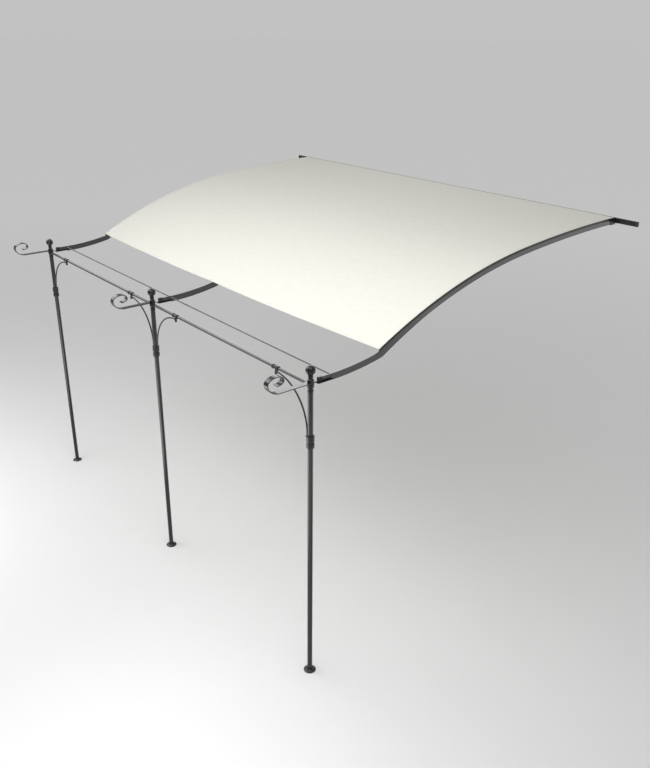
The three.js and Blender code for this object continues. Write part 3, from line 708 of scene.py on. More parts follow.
def sewing_thread():
    """Polyester thread with a fine twist."""
    material, tree, shader = finish("sewing_thread", Sheen_Weight=0.2, Specular_IOR_Level=0.3)
    place = put(tree, "ShaderNodeTexCoord").outputs["Object"]
    twist = noise(tree, place, TWISTS_PER_METRE, detail=2.0)
    colour = mixed(tree, ranged(tree, twist, *NOISE_RANGE, 0.0, 1.0), *SEWING_COLOURS)
    roughness = ranged(tree, twist, *NOISE_RANGE, *SEWING_ROUGHNESS)
    coat(tree, shader, colour, roughness, twist, TWIST_STRENGTH, TWIST_DEPTH)
    return material


FINISHES = {
    "iron": painted(
        "graphite_paint", near_black(0.024), near_black(0.029), gloss=(0.15, 0.21), dust=0.02, Metallic=0.3,
    ),
    "dark_iron": painted(
        "dark_paint", near_black(0.016), near_black(0.024), gloss=(0.24, 0.32), dust=0.02,
        Specular_IOR_Level=0.2,
    ),
    "black_plastic": painted(
        "moulded_plastic", near_black(0.012), near_black(0.018), gloss=(0.42, 0.55), dust=0.08, peel=0.0009,
    ),
    "canopy_cloth": woven(
        "ecru_cloth", (0.79, 0.78, 0.72, 1), (0.73, 0.72, 0.65, 1), slub=0.05, relief=0.5,
    ),
}
# A darker copy of the graphite paint for collars, heads, finials and scrolls: painted shade that darkens
# these pieces.
SHADED_IRON = painted(
    "worked_iron_paint", near_black(0.008), near_black(0.012), gloss=(0.15, 0.21), dust=0.02, Metallic=0.3,
)
HEM_CLOTH = woven("hem_cloth", (0.78, 0.77, 0.71, 1), (0.71, 0.70, 0.63, 1), slub=0.03, relief=0.6)
THREAD = sewing_thread()


def weigh_normals(obj):
    """Let the large faces set the normals along their eased edges, so that flat faces look flat."""
    weighting = obj.modifiers.new("weighting", "WEIGHTED_NORMAL")
    weighting.keep_sharp = True
    weighted = modified(obj, preserve_all_data_layers=True)
    plain = obj.data
    obj.modifiers.clear()
    obj.data = weighted
    bpy.data.meshes.remove(plain)
    weighted.name = obj.name


def piece(name, mesh, slot, *nodes, material=None):
    """A finished piece: its mesh in an object that rides on the frame and stands for the given nodes."""
    obj = loose_object(name, mesh)
    obj.data.materials.clear()
    obj.data.materials.append(material or FINISHES[slot])
    obj.data.shade_smooth()
    obj.data.set_sharp_from_angle(angle=SMOOTH_ANGLE)
    if slot != "canopy_cloth":
        weigh_normals(obj)
    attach(obj, "root")
    if nodes:
        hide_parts(*nodes)
    return obj


# Geometry node trees
def bar_along_path_tree():
    """A flat bar with eased edges that follows a line."""
    inputs = {
        "Line": "geometry", "Width": "value", "Thickness": "value", "Edge": "value", "Across": "vector",
        "Finish": "material",
    }
    tree, given, result = node_group("bar_along_path", "GeometryNodeTree", inputs, {"Bar": "geometry"})
    line = put(tree, "GeometryNodeMeshToCurve", {"Mesh": given["Line"]})
    stance = {0: line.outputs[0], "Normal": given["Across"]}
    held = put(tree, "GeometryNodeSetCurveNormal", stance, mode="FREE")
    size = {0: given["Width"], 1: given["Thickness"]}
    section = put(tree, "GeometryNodeCurvePrimitiveQuadrilateral", size)
    eased = put(
        tree, "GeometryNodeFilletCurve",
        {"Curve": section.outputs[0], "Radius": given["Edge"], "Count": EDGE_STEPS, "Limit Radius": True},
        mode="POLY",
    )
    return swept(tree, result, held, eased, given["Finish"])


def rod_along_path_tree():
    """A round rod that follows a line."""
    inputs = {"Line": "geometry", "Diameter": "value", "Finish": "material"}
    tree, given, result = node_group("rod_along_path", "GeometryNodeTree", inputs, {"Rod": "geometry"})
    line = put(tree, "GeometryNodeMeshToCurve", {"Mesh": given["Line"]})
    radius = math_node(tree, "DIVIDE", given["Diameter"], 2.0)
    section = put(tree, "GeometryNodeCurvePrimitiveCircle", {"Resolution": SMALL_ROUND, "Radius": radius})
    return swept(tree, result, line, section, given["Finish"])


def swept(tree, result, line, section, material):
    bar = put(
        tree, "GeometryNodeCurveToMesh",
        {"Curve": line.outputs[0], "Profile Curve": section.outputs[0], "Fill Caps": True},
    )
    return ended(tree, result, bar, material)


def ended(tree, result, shape, material):
    plain = put(tree, "GeometryNodeRealizeInstances", {"Geometry": shape.outputs[0]})
    coated = put(tree, "GeometryNodeSetMaterial", {"Geometry": plain.outputs[0], "Material": material})
    feed(tree, result, {0: coated.outputs[0]})
    return tree


def stitches_tree():
    """Small stitches at an even pitch along lines."""
    inputs = {
        "Line": "geometry", "Pitch": "value", "Length": "value", "Thread": "value", "Finish": "material",
    }
    outputs = {"Stitches": "geometry"}
    tree, given, result = node_group("stitches_along_line", "GeometryNodeTree", inputs, outputs)
    line = put(tree, "GeometryNodeMeshToCurve", {"Mesh": given["Line"]})
    steps = {"Curve": line.outputs[0], "Length": given["Pitch"]}
    places = put(tree, "GeometryNodeResampleCurve", steps, mode="LENGTH")
    ball = put(tree, "GeometryNodeMeshUVSphere", {"Segments": 6, "Rings": 4, "Radius": 0.5})
    size = put(tree, "ShaderNodeCombineXYZ", {0: given["Length"], 1: given["Thread"], 2: given["Thread"]})
    stitch = put(tree, "GeometryNodeTransform", {"Geometry": ball.outputs[0], "Scale": size.outputs[0]})
    tangent = put(tree, "GeometryNodeInputTangent")
    lie = put(tree, "FunctionNodeAlignRotationToVector", {"Vector": tangent.outputs[0]}, axis="X")
    sewn = put(
        tree, "GeometryNodeInstanceOnPoints",
        {"Points": places.outputs[0], "Instance": stitch.outputs[0], "Rotation": lie.outputs[0]},
    )
    return ended(tree, result, sewn, given["Finish"])


def fixings_tree():
    """The same fixing at each of several points."""
    inputs = {"Points": "geometry", "Fixing": "object", "Finish": "material"}
    outputs = {"Fixings": "geometry"}
    tree, given, result = node_group("fixings_on_points", "GeometryNodeTree", inputs, outputs)
    pattern = put(tree, "GeometryNodeObjectInfo", {"Object": given["Fixing"]})
    fixed = put(
        tree, "GeometryNodeInstanceOnPoints",
        {"Points": given["Points"], "Instance": pattern.outputs["Geometry"]},
    )
    return ended(tree, result, fixed, given["Finish"])


def grown(tree, lines, **sizes):
    """The plain mesh that a tree grows on lines of points; single points stay unjoined."""
    mesh = bmesh.new()
    for line in lines:
        made = [mesh.verts.new(point) for point in line]
        for start, end in zip(made, made[1:]):
            mesh.edges.new((start, end))
    base = loose_object("base", mesh)
    modifier = base.modifiers.new(tree.name, "NODES")
    modifier.node_group = tree
    for item in tree.interface.items_tree:
        if item.in_out == "INPUT" and item.name in sizes:
            modifier[item.identifier] = sizes[item.name]
    return finished_mesh(base)


BAR_ALONG_PATH = bar_along_path_tree()
ROD_ALONG_PATH = rod_along_path_tree()
STITCHES = stitches_tree()
FIXINGS = fixings_tree()


def ease_ends(mesh, edge):
    """Round the rims of the flat ends that a sweep leaves."""
    bmesh.ops.remove_doubles(mesh, verts=mesh.verts, dist=MERGE_DISTANCE)
    bmesh.ops.recalc_face_normals(mesh, faces=mesh.faces)
    rims = [side for face in mesh.faces if len(face.verts) > 4 for side in face.edges]
    ease(mesh, rims, edge)
    return mesh


# Posts
def foot():
    lip = post_radius + FOOT_LIP
    dish = [
        (foot_radius + (lip - foot_radius) * t, FOOT_RIM + (FOOT_HEIGHT - FOOT_RIM) * t**2)
        for t in spread(0, 1, DISH_STEPS)
    ]
    spigot_top = FOOT_HEIGHT + SPIGOT_LENGTH
    profile = [(0, 0), (foot_radius, 0), *dish, (spigot_radius, FOOT_HEIGHT), (spigot_radius, spigot_top),
               (0, spigot_top)]
    body = turned(rounded(profile, TURNED_EDGE))
    place = (foot_radius + lip) / 2
    holes = []
    for k in range(FOOT_HOLES):
        hole = placed(rod(FOOT_HOLE, -FOOT_HEIGHT, 2 * FOOT_HEIGHT), at=(0, place, 0))
        holes.append(placed(hole, turn=360 * (k + 1) / FOOT_HOLES))
    return carved(body, *holes)


def tube(outer, inner, start, end, segments=ROUND, edge=0.0):
    profile = [(inner, start), (outer, start), (outer, end), (inner, end)]
    return turned(rounded(profile, edge, closed=True) if edge else profile, closed=True, segments=segments)


def collar(sides):
    bore = post_radius + CLEARANCE
    ring, groove, sleeve = (post_radius + proud for proud in (COLLAR_RING, COLLAR_GROOVE, COLLAR_SLEEVE))
    lines = []
    for place in COLLAR_LINE_PLACES:
        level = collar_top - place
        lines += [
            (sleeve, level - COLLAR_LINE), (sleeve - COLLAR_LINE, level), (sleeve, level + COLLAR_LINE),
        ]
    profile = [
        (bore, collar_bottom), (bore + COLLAR_SLOPE, collar_bottom), (ring, collar_ring_bottom),
        (ring, collar_ring_top - COLLAR_SLOPE), (groove, collar_ring_top), (groove, sleeve_bottom),
        (sleeve, sleeve_bottom + COLLAR_SLOPE), *sorted(lines, key=lambda point: point[1]),
        (sleeve, collar_top - COLLAR_SLOPE), (sleeve - COLLAR_SLOPE, collar_top), (bore, collar_top),
    ]
    shape = turned(rounded(profile, TURNED_EDGE, closed=True), closed=True)
    holes = []
    for side in sides:
        hole = loose_hole(BRACE_BOLT, *on_side(side, 0, 2 * sleeve))
        holes.append(along_x(hole, (0, 0, collar_level)))
    return carved(shape, *holes)


def head(sides):
    bead = post_radius + HEAD_BEAD
    base = post_top + CLEARANCE
    groove = base + HEAD_BEAD_HEIGHT
    waist = groove + HEAD_BEAD_HEIGHT
    flare = waist + HEAD_WAIST
    spigot = base - SPIGOT_LENGTH
    profile = [
        (0, spigot), (spigot_radius, spigot), (spigot_radius, base), (bead, base),
        (bead, groove - HEAD_GROOVE), (post_radius, groove), (bead, groove + HEAD_GROOVE),
        (bead, waist - HEAD_GROOVE), (post_radius, waist), (post_radius, flare - FLARE_EDGE),
        (flare_radius, flare + FLARE_EDGE), (flare_radius, head_top - FLARE_EDGE),
        (flare_radius - FLARE_EDGE, head_top), (0, head_top),
    ]
    shape = turned(rounded(profile, 2 * TURNED_EDGE))
    stud_bore = loose_hole(STUD_DIAMETER, head_top - STUD_SEAT - STUD_SPARE, head_top + STUD_SPARE)
    sockets = []
    for side in sides:
        socket = loose_hole(2 * beam_radius, *on_side(side, flare_radius - BEAM_SEAT, 2 * flare_radius))
        sockets.append(along_x(socket, (0, 0, beam_level)))
    return carved(shape, stud_bore, *sockets)


def finial():
    stud, ball, neck = STUD_DIAMETER / 2, BALL_DIAMETER / 2, NECK_DIAMETER / 2
    base, bead = FINIAL_BASE_DIAMETER / 2, FINIAL_BEAD_DIAMETER / 2
    bottom = head_top - STUD_SEAT
    base_top = finial_base + FINIAL_BASE_HEIGHT
    bead_bottom = base_top + 2 * NECK_SLOPE
    bead_top = bead_bottom + FINIAL_BEAD_HEIGHT
    start = math.degrees(math.asin(neck / ball))
    centre = bead_top + NECK_SLOPE + ball * math.cos(math.radians(start))
    shoulder = [
        (0, bottom), (stud, bottom), (stud, finial_base), (base, finial_base), (base, base_top),
        (neck, base_top + NECK_SLOPE), (bead, bead_bottom), (bead, bead_top),
    ]
    globe = arc((0, centre), ball, start - 90, 90, BALL_STEPS)
    globe[-1] = (0, globe[-1][1])
    return turned(rounded([*shoulder, *globe], 2 * TURNED_EDGE))


# Beams, braces and clips
def brace(side):
    bottom = collar_level - BRACE_TAIL
    run = clip_offset - stub_radius - CLEARANCE - brace_inset
    upright = beam_level - stub_drop - bottom - run
    bend = [(brace_inset + run * (1 - math.cos(a)), bottom + upright + run * math.sin(a))
            for a in spread(0, math.pi / 2, BRACE_STEPS)]
    line = [(side * x, 0, z) for x, z in [(brace_inset, bottom), *bend]]
    swept_rod = grown(ROD_ALONG_PATH, [line], Diameter=BRACE_DIAMETER, Finish=FINISHES["iron"])
    ends = on_side(side, brace_inset - BRACE_DIAMETER, brace_inset + BRACE_DIAMETER)
    bolt_hole = along_x(loose_hole(BRACE_BOLT, *ends), (0, 0, collar_level))
    return carved(ease_ends(swept_rod, TURNED_EDGE), bolt_hole)


def brace_bolt(side):
    tip = post_radius + 2 * CLEARANCE
    face = brace_inset + BRACE_DIAMETER / 2 + CLEARANCE
    shank, dome = BRACE_BOLT / 2, BRACE_BOLT_HEAD / 2
    angles = spread(0, math.pi / 2, DOME_STEPS)
    crown = [(dome * math.cos(a), face + BRACE_BOLT_DOME * math.sin(a)) for a in angles]
    crown[-1] = (0, crown[-1][1])
    profile = rounded([(0, tip), (shank, tip), (shank, face), *crown], TURNED_EDGE)
    return placed(turned(profile, segments=SMALL_ROUND), turn=90 * side, axis="Y", at=(0, 0, collar_level))


def clip():
    half = size_of("beam_clip_left").x / 2
    ring = half - CLIP_RING_LENGTH
    sleeve = along_x(turned(rounded([
        (clip_bore, -half), (clip_ring_radius, -half), (clip_ring_radius, -ring), (clip_radius, -ring),
        (clip_radius, ring), (clip_ring_radius, ring), (clip_ring_radius, half), (clip_bore, half),
    ], TURNED_EDGE, closed=True), closed=True))
    ball = stub_radius + STUB_BALL
    ball_end = math.degrees(math.asin(stub_radius / ball))
    centre = -stub_drop - BRACE_DIAMETER / 2 - ball * math.cos(math.radians(ball_end))
    knob = arc((0, centre), ball, -90, 90 - ball_end, KNOB_STEPS)
    knob[0] = (0, knob[0][1])
    top = -clip_bore - CLIP_WALL / 2
    stub = turned([*knob, (stub_radius, top), (0, top)], segments=SMALL_ROUND)
    return placed(carved(sleeve, stub, operation="UNION"), at=(0, 0, beam_level))


# Scroll brackets
def scroll_bracket():
    curl = [(-CURL_START, strip_level)]
    for k, (width, height) in enumerate(CURL_QUARTERS):
        start = -math.pi / 2 * (k + 1)
        y, z = curl[-1]
        y, z = y - width * math.cos(start), z - height * math.sin(start)
        angles = spread(start, start - math.pi / 2, CURL_STEPS)[1:]
        curl += [(y + width * math.cos(a), z + height * math.sin(a)) for a in angles]
    straight = [(tongue_end, tongue_level), (joggle_end, tongue_level), (joggle_start, strip_level)]
    line = rounded([*straight, *curl], JOGGLE_BEND, steps=JOGGLE_STEPS)
    bar = grown(
        BAR_ALONG_PATH, [[(0, y, z) for y, z in line]], Width=strip_width, Thickness=STRIP_THICKNESS,
        Edge=BAR_EDGE, Across=(1, 0, 0), Finish=FINISHES["iron"],
    )
    stud_hole = loose_hole(STUD_DIAMETER, head_top, finial_base)
    screw_hole = loose_hole(TONGUE_SCREW, tongue_level - STRIP_THICKNESS, tongue_level + STRIP_THICKNESS)
    screw_hole = placed(screw_hole, at=(0, tongue_screw_place, 0))
    return carved(ease_ends(bar, BAR_EDGE), stud_hole, screw_hole)


# Rafters and shoes
front_bolt_place = ((rafter_front + shoe_high.y) / 2, rafter_seat + TONGUE_LAP / 2)
rear_bolt_place = middle_of("rear_shoe_bolt_middle").yz
tie_rod_place = middle_of("tie_rod").yz
arch_line = [arch_edge(y) for y in spread(KINK_DISTANCE + TRACK_SETBACK, rafter_end, ARCH_STEPS)]


def under_arch(depth):
    """A line at a depth under the arch, cut off upright at its rear end."""
    return [*(off_edge(edge, -depth) for edge in arch_line[:-1]), (rafter_end, arch_line[-1][1] - depth)]


def cross_hole(diameter, place):
    reach = 2 * CROSS_BOLT_FLATS
    return along_x(loose_hole(diameter, -reach, reach), (0, *place))


def hem_slot(place, angle):
    """Slot in a rafter's upper edge that a hem rod lies in."""
    radius = loose(HEM_ROD_DIAMETER) / 2
    mouth = [(radius, HEM_ROD_DIAMETER), (-radius, HEM_ROD_DIAMETER)]
    outline = [*arc((0, 0), radius, 180, 360, SMALL_ROUND), *mouth]
    slot = plate(outline, -RAFTER_THICKNESS, RAFTER_THICKNESS, 0)
    return placed(slot, turn=math.degrees(angle), axis="X", at=(0, place.y, place.z))


def rafter():
    """The bar below its track."""
    arm = [arm_edge(y) for y in spread(ARM_LEVEL_END, KINK_DISTANCE, ARM_STEPS)]
    notch_end = tongue_end + CLEARANCE
    upper = [(rafter_front, arm_level), *((y, z) for y, z, _ in arm), *under_arch(TRACK_HEIGHT)]
    lower = [
        (notch_end, rafter_seat), (notch_end, arm_edge(notch_end)[1] - ARM_DEPTH),
        *(off_edge(edge, -ARM_DEPTH) for edge in arm if edge[0] > notch_end),
        *(off_edge(edge, -haunched_depth(edge[0])) for edge in arch_line[:-1]),
        (rafter_end, arch_line[-1][1] - TRACK_HEIGHT - ARCH_DEPTH),
    ]
    half = RAFTER_THICKNESS / 2
    bar = plate([(rafter_front, rafter_seat), *lower, *reversed(upper)], -half, half)
    return carved(
        bar, cross_hole(TIE_ROD_DIAMETER, tie_rod_place), cross_hole(CROSS_BOLT, front_bolt_place),
        cross_hole(CROSS_BOLT, rear_bolt_place),
    )


def arch_band(top, bottom, near, far, edge):
    """A bar along the arch, between two depths."""
    return plate([*under_arch(bottom), *reversed(under_arch(top))], near, far, edge)


def cloth_track():
    """The raised track on a rafter, with a groove along each side and slots for the hem rods; its darker
    paint draws a dark band along the rafter's top edge.
    """
    half = RAFTER_THICKNESS / 2 + TRACK_PROUD
    track = arch_band(0, TRACK_HEIGHT, -half, half, BAR_EDGE)
    grooves = [
        arch_band(*TRACK_GROOVE_EDGES, *on_side(side, half - TRACK_GROOVE, 2 * half), 0)
        for side in (-1, 1)
    ]
    slots = [hem_slot(place, arch_edge(place.y)[2]) for place in rod_places.values()]
    return carved(track, *grooves, *slots)


def front_shoe():
    half = (shoe_high.x - shoe_low.x) / 2
    cap = block((-half, shoe_low.y, shoe_low.z), (half, shoe_high.y, shoe_high.z))
    gap = RAFTER_THICKNESS / 2 + CLEARANCE
    hollow_low = (-gap, shoe_low.y + SHOE_NOSE, shoe_low.z - SHOE_WALL)
    hollow = block(hollow_low, (gap, shoe_high.y + SHOE_WALL, arm_level + CLEARANCE), 0)
    screw_end = shoe_low.z + TONGUE_SCREW_SEAT + CLEARANCE
    screw_hole = loose_hole(TONGUE_SCREW, shoe_low.z - SHOE_WALL, screw_end)
    screw_hole = placed(screw_hole, at=(0, tongue_screw_place, 0))
    return carved(cap, hollow, screw_hole, cross_hole(CROSS_BOLT, front_bolt_place))


def rear_shoe():
    half = RAFTER_THICKNESS / 2 + CLEARANCE + SHOE_WALL
    gap = half - SHOE_WALL
    top = rear_trough_top()
    trough = block((-half, rear_low.y, rear_low.z), (half, plate_front + CAST_EDGE, top))
    groove = block(
        (-gap, rear_low.y - SHOE_WALL, rear_low.z + SHOE_WALL), (gap, plate_front, top + SHOE_WALL), 0)
    width = (rear_high.x - rear_low.x) / 2
    height = (rail_high.z - rail_low.z) / 2
    wall_plate = block(
        (-width, plate_front, rail_level - height), (width, rear_high.y, rail_level + height))
    open_trough = carved(trough, groove, cross_hole(CROSS_BOLT, rear_bolt_place))
    return carved(wall_plate, open_trough, operation="UNION")


def rear_trough_top():
    """The trough is as high above its bolt as it is deep below it."""
    return 2 * rear_bolt_place[1] - (rear_low.z + SHOE_WALL)


# Fixings
def hexagon(flats, start, end):
    """A hexagon along Z with both ends chamfered."""
    corner = flats / 2 / math.cos(math.pi / HEXAGON)
    prism = turned([(0, start), (corner, start), (corner, end), (0, end)], segments=HEXAGON)
    trim = flats / 2 * HEX_FACE_SHARE
    profile = [(0, start), (trim, start), (corner + HEX_CHAMFER, start + 2 * HEX_CHAMFER),
               (corner + HEX_CHAMFER, end - 2 * HEX_CHAMFER), (trim, end), (0, end)]
    return carved(prism, turned(profile), operation="INTERSECT")


def cross_bolt():
    face = RAFTER_THICKNESS / 2 + SHOE_WALL + 2 * CLEARANCE
    starts = (face, -face - CROSS_BOLT_HEAD)
    ends = [hexagon(CROSS_BOLT_FLATS, start, start + CROSS_BOLT_HEAD) for start in starts]
    shank = rod(CROSS_BOLT, -face - CROSS_BOLT_HEAD / 2, face + CROSS_BOLT_HEAD, edge=TURNED_EDGE)
    return along_x(carved(shank, *ends, operation="UNION"))


def tongue_screw():
    under = tongue_level - STRIP_THICKNESS / 2 - CLEARANCE
    shank = rod(TONGUE_SCREW, under - TONGUE_SCREW_HEAD / 2, rafter_seat + TONGUE_SCREW_SEAT)
    return carved(shank, hexagon(TONGUE_SCREW_FLATS, under - TONGUE_SCREW_HEAD, under), operation="UNION")


def plate_screw():
    """Head of a screw, seated on a rear shoe's plate."""
    seat = WALL_PLATE_THICKNESS / 2
    return placed(hexagon(PLATE_SCREW_FLATS, -seat, PLATE_SCREW_HEAD), turn=90, axis="X")


def fixed(name, pattern, points, slot, *nodes):
    """One fixing repeated at points, as one piece."""
    sample = loose_object("pattern", pattern)
    mesh = grown(FIXINGS, [[point] for point in points], Fixing=sample, Finish=FINISHES[slot])
    bpy.data.objects.remove(sample)
    return piece(name, mesh, slot, *nodes)


# Wall rail
def rail_outline(inset, radius):
    low_y, high_y = rail_low.y + inset, rail_high.y - inset
    low_z, high_z = rail_low.z + inset, rail_high.z - inset
    corners = [(low_y, low_z), (high_y, low_z), (high_y, high_z), (low_y, high_z)]
    return rounded(corners, radius, closed=True)


def wall_rail():
    ends = (rail_low.x, rail_high.x)
    shell = plate(rail_outline(0, RAIL_CORNER), *ends, 0)
    hollow = plate(rail_outline(RAIL_WALL, RAIL_CORNER / 2), 2 * ends[0], 2 * ends[1], 0)
    holes = []
    for x in RAIL_HOLE_PLACES:
        for side in (-1, 1):
            hole = placed(rod(RAIL_HOLE, -rail_high.y, 0), turn=90, axis="X", at=(0, 0, rail_level))
            holes.append(placed(hole, at=(side * x, rail_high.y / 2, 0)))
    return carved(shell, hollow, *holes)


def rail_plug(side):
    low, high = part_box(f"rail_plug_{'right' if side > 0 else 'left'}")
    face_start = rail_high.x + CLEARANCE
    face = plate(rail_outline(0, RAIL_CORNER), *on_side(side, face_start, face_start + PLUG_FACE))
    inner_end = low.x if side > 0 else high.x
    insert_ends = sorted((inner_end, side * (face_start + PLUG_FACE / 2)))
    insert = plate(rail_outline(RAIL_WALL + CLEARANCE, RAIL_CORNER / 2), *insert_ends)
    return carved(face, insert, operation="UNION")


# Canopy
cloth_columns = spread(-canopy_half, canopy_half, CLOTH_COLUMNS)


def smooth(t):
    t = min(max(t, 0.0), 1.0)
    return t * t * (3 - 2 * t)


def front_edge(x):
    """Where the cloth's front edge lies: it bows forward between its corners."""
    return FRONT_EDGE - FRONT_BOW * (1 - (x / canopy_half) ** 2)


def slack(x):
    """1 half way between two rafters and 0 on them."""
    share = min(abs(x) / post_spacing, 1.0)
    return 4 * share * (1 - share)


def pucker(x, y):
    """Small ripples where the hems' seams draw the cloth in."""
    wander = PUCKER_WANDER * math.sin(PUCKER_WANDER_RATE * x)
    wave = math.sin(2 * math.pi * x / PUCKER_LENGTH + wander)
    ripple = 0
    for name, away in (("front", POCKET_REAR_SEAM), ("rear", -POCKET_REAR_SEAM)):
        distance = abs(y - rod_places[name].y - away) / PUCKER_REACH
        ripple += math.exp(-distance**2) * wave
    return PUCKER * ripple * slack(x)


def cloth_point(x, y, lift):
    """A place on the canopy, lifted off its underside."""
    front, rear = rod_places["front"].y, rod_places["rear"].y
    py, pz = off_edge(arch_edge(y), CLEARANCE + lift)
    sag = CLOTH_SAG * smooth((y - front) / SAG_RAMP) * smooth((rear - y) / SAG_RAMP)
    ahead = max(front - y, 0) / (front - FRONT_EDGE + FRONT_BOW)
    return Vector((x, py, pz - slack(x) * (sag + LIP_DROOP * ahead**2) + pucker(x, y)))


def cloth_patch(columns, rows, low, high):
    """A closed slab of cloth over columns x and rows(x), between two lifts, with its flat measure as UV."""
    grid = [[(x, y) for y in rows(x)] for x in columns]
    across, along = len(grid), len(grid[0])
    mesh = bmesh.new()
    flat = mesh.loops.layers.uv.new("flat")
    layers = [
        [[mesh.verts.new(cloth_point(x, y, lift)) for x, y in line] for line in grid]
        for lift in (low, high)
    ]
    measure = [[Vector((x, arch_length(y))) for x, y in line] for line in grid]

    def face(corners):
        made = mesh.faces.new([layers[layer][i][j] for layer, i, j in corners])
        for loop, (_, i, j) in zip(made.loops, corners):
            loop[flat].uv = measure[i][j]

    for i in range(across - 1):
        for j in range(along - 1):
            ring = [(i, j), (i + 1, j), (i + 1, j + 1), (i, j + 1)]
            face([(1, *place) for place in ring])
            face([(0, *place) for place in reversed(ring)])
    rim = [(i, 0) for i in range(across)] + [(across - 1, j) for j in range(1, along)]
    rim += [(i, along - 1) for i in range(across - 2, -1, -1)] + [(0, j) for j in range(along - 2, 0, -1)]
    for start, end in zip(rim, rim[1:] + rim[:1]):
        face([(0, *start), (0, *end), (1, *end), (1, *start)])
    return mesh


def cloth_rows(x):
    front = rod_places["front"].y
    return spread(front_edge(x), front, LIP_ROWS)[:-1] + spread(front, rear_edge, CLOTH_ROWS)


def front_hem_rows(x):
    return spread(front_edge(x), front_edge(x) + FRONT_HEM, LIP_ROWS)


def rear_hem_rows(_):
    return spread(rear_edge - REAR_HEM, rear_edge, LIP_ROWS)


def side_hem_rows(x):
    return spread(front_edge(x) + FRONT_HEM, rear_edge - REAR_HEM, CLOTH_ROWS)


def hem_bands():
    """Turned-over bands along the four edges, sewn on top of the cloth."""
    lifts = (CLOTH_THICKNESS, CLOTH_THICKNESS + BAND_THICKNESS)
    bands = [cloth_patch(cloth_columns, rows, *lifts) for rows in (front_hem_rows, rear_hem_rows)]
    for side in (-1, 1):
        across = sorted(side * (canopy_half - inset) for inset in spread(0, SIDE_HEM, LIP_ROWS))
        bands.append(cloth_patch(across, side_hem_rows, *lifts))
    return joined(*bands)


def pocket(name, toward):
    """Sling of cloth that holds a hem rod under the sheet, one in each bay."""
    place = rod_places[name]
    angle = arch_edge(place.y)[2]
    radius = hem_rod_radius + CLEARANCE + POCKET_CLOTH / 2
    roof = hem_rod_radius + 2 * CLEARANCE - POCKET_CLOTH / 2
    sling = [
        (-POCKET_FRONT_SEAM, roof), *arc((0, 0), radius, *POCKET_ARC, SLING_STEPS),
        (POCKET_REAR_SEAM, roof), (POCKET_REAR_SEAM + POCKET_FLANGE, roof),
    ]
    eased = rounded(sling, hem_rod_radius / 2, steps=SLING_CORNER_STEPS)
    outline = ribbon([Vector((toward * t, n)) for t, n in eased], POCKET_CLOTH)
    half = post_spacing / 2 - shoe_high.x + post_places["middle"] - POCKET_GAP
    slings = []
    for bay in (-1, 1):
        strip = plate(outline, -half, half, POCKET_CLOTH / 4)
        strip = placed(strip, turn=math.degrees(angle), axis="X", at=(0, place.y, place.z))
        slings.append(placed(strip, at=(bay * post_spacing / 2, 0, 0)))
    return joined(*slings)


def ribbon(line, thickness):
    """Outline of a strip of even thickness along a line."""
    sides = []
    for offset in (thickness / 2, -thickness / 2):
        edge = []
        for i, point in enumerate(line):
            along = (line[min(i + 1, len(line) - 1)] - line[max(i - 1, 0)]).normalized()
            edge.append((point.x - offset * along.y, point.y + offset * along.x))
        sides.append(edge)
    return sides[0] + sides[1][::-1]


def seam_lines():
    """Lines that the hems' stitches follow, on top of the bands."""
    lift = CLOTH_THICKNESS + BAND_THICKNESS
    columns = spread(-canopy_half + STITCH_INSET, canopy_half - STITCH_INSET, CLOTH_COLUMNS)
    seams = []
    for inset in (STITCH_INSET, FRONT_HEM - STITCH_INSET):
        seams.append([cloth_point(x, front_edge(x) + inset, lift) for x in columns])
    for inset in (STITCH_INSET, REAR_HEM - STITCH_INSET):
        seams.append([cloth_point(x, rear_edge - inset, lift) for x in columns])
    for x in (canopy_half - STITCH_INSET, canopy_half - SIDE_HEM + STITCH_INSET):
        for side in (-1, 1):
            seams.append([cloth_point(side * x, y, lift) for y in side_hem_rows(x)])
    return seams


# Assembly
def set_up(name, label, x, mesh, slot, node=None, material=None):
    """A piece of a post or a corner, moved along X to it, that stands for its node there."""
    nodes = [f"{node}_{name}"] if node else []
    piece(f"{name}_{label}", placed(mesh, at=(x, 0, 0)), slot, *nodes, material=material)


for name, sides in POSTS.items():
    x = post_places[name]
    post = tube(post_radius, post_radius - POST_WALL, post_base, post_top, edge=BAR_EDGE)
    set_up(name, "foot", x, foot(), "iron", "foot_plate")
    set_up(name, "post_tube", x, post, "iron", "post")
    # Collars, heads, finials and scrolls take the darker copy of the paint, as painted shade.
    set_up(name, "collar", x, collar(sides), "iron", "post_collar", SHADED_IRON)
    set_up(name, "head", x, head(sides), "iron", "post_head", SHADED_IRON)
    set_up(name, "finial", x, finial(), "iron", "finial", SHADED_IRON)
    set_up(name, "scroll", x, scroll_bracket(), "iron", "scroll_bracket", SHADED_IRON)
    set_up(name, "rafter_bar", x, rafter(), "iron", "rafter")
    # The track takes the darker paint, which draws a dark band along each rafter's top edge.
    set_up(name, "cloth_track", x, cloth_track(), "dark_iron")
    set_up(name, "rafter_cap", x, front_shoe(), "dark_iron", "front_shoe")
    set_up(name, "wall_shoe", x, rear_shoe(), "dark_iron", "rear_shoe")
    for side in sides:
        corner = name if len(sides) == 1 else f"{name}_{'right' if side > 0 else 'left'}_side"
        set_up(corner, "brace_rod", x, brace(side), "iron", "brace")
        set_up(corner, "dome_bolt", x, brace_bolt(side), "dark_iron", "brace_bolt")
        set_up(corner, "clip", x + side * clip_offset, clip(), "dark_iron", "beam_clip")

for name, x in (("left", post_places["left"]), ("right", post_places["middle"])):
    start = flare_radius - BEAM_SEAT + CLEARANCE
    beam = tube(beam_radius, beam_radius - BEAM_WALL, x + start, x + post_spacing - start)
    piece(f"{name}_beam_tube", along_x(beam, (0, 0, beam_level)), "iron", f"front_beam_{name}")

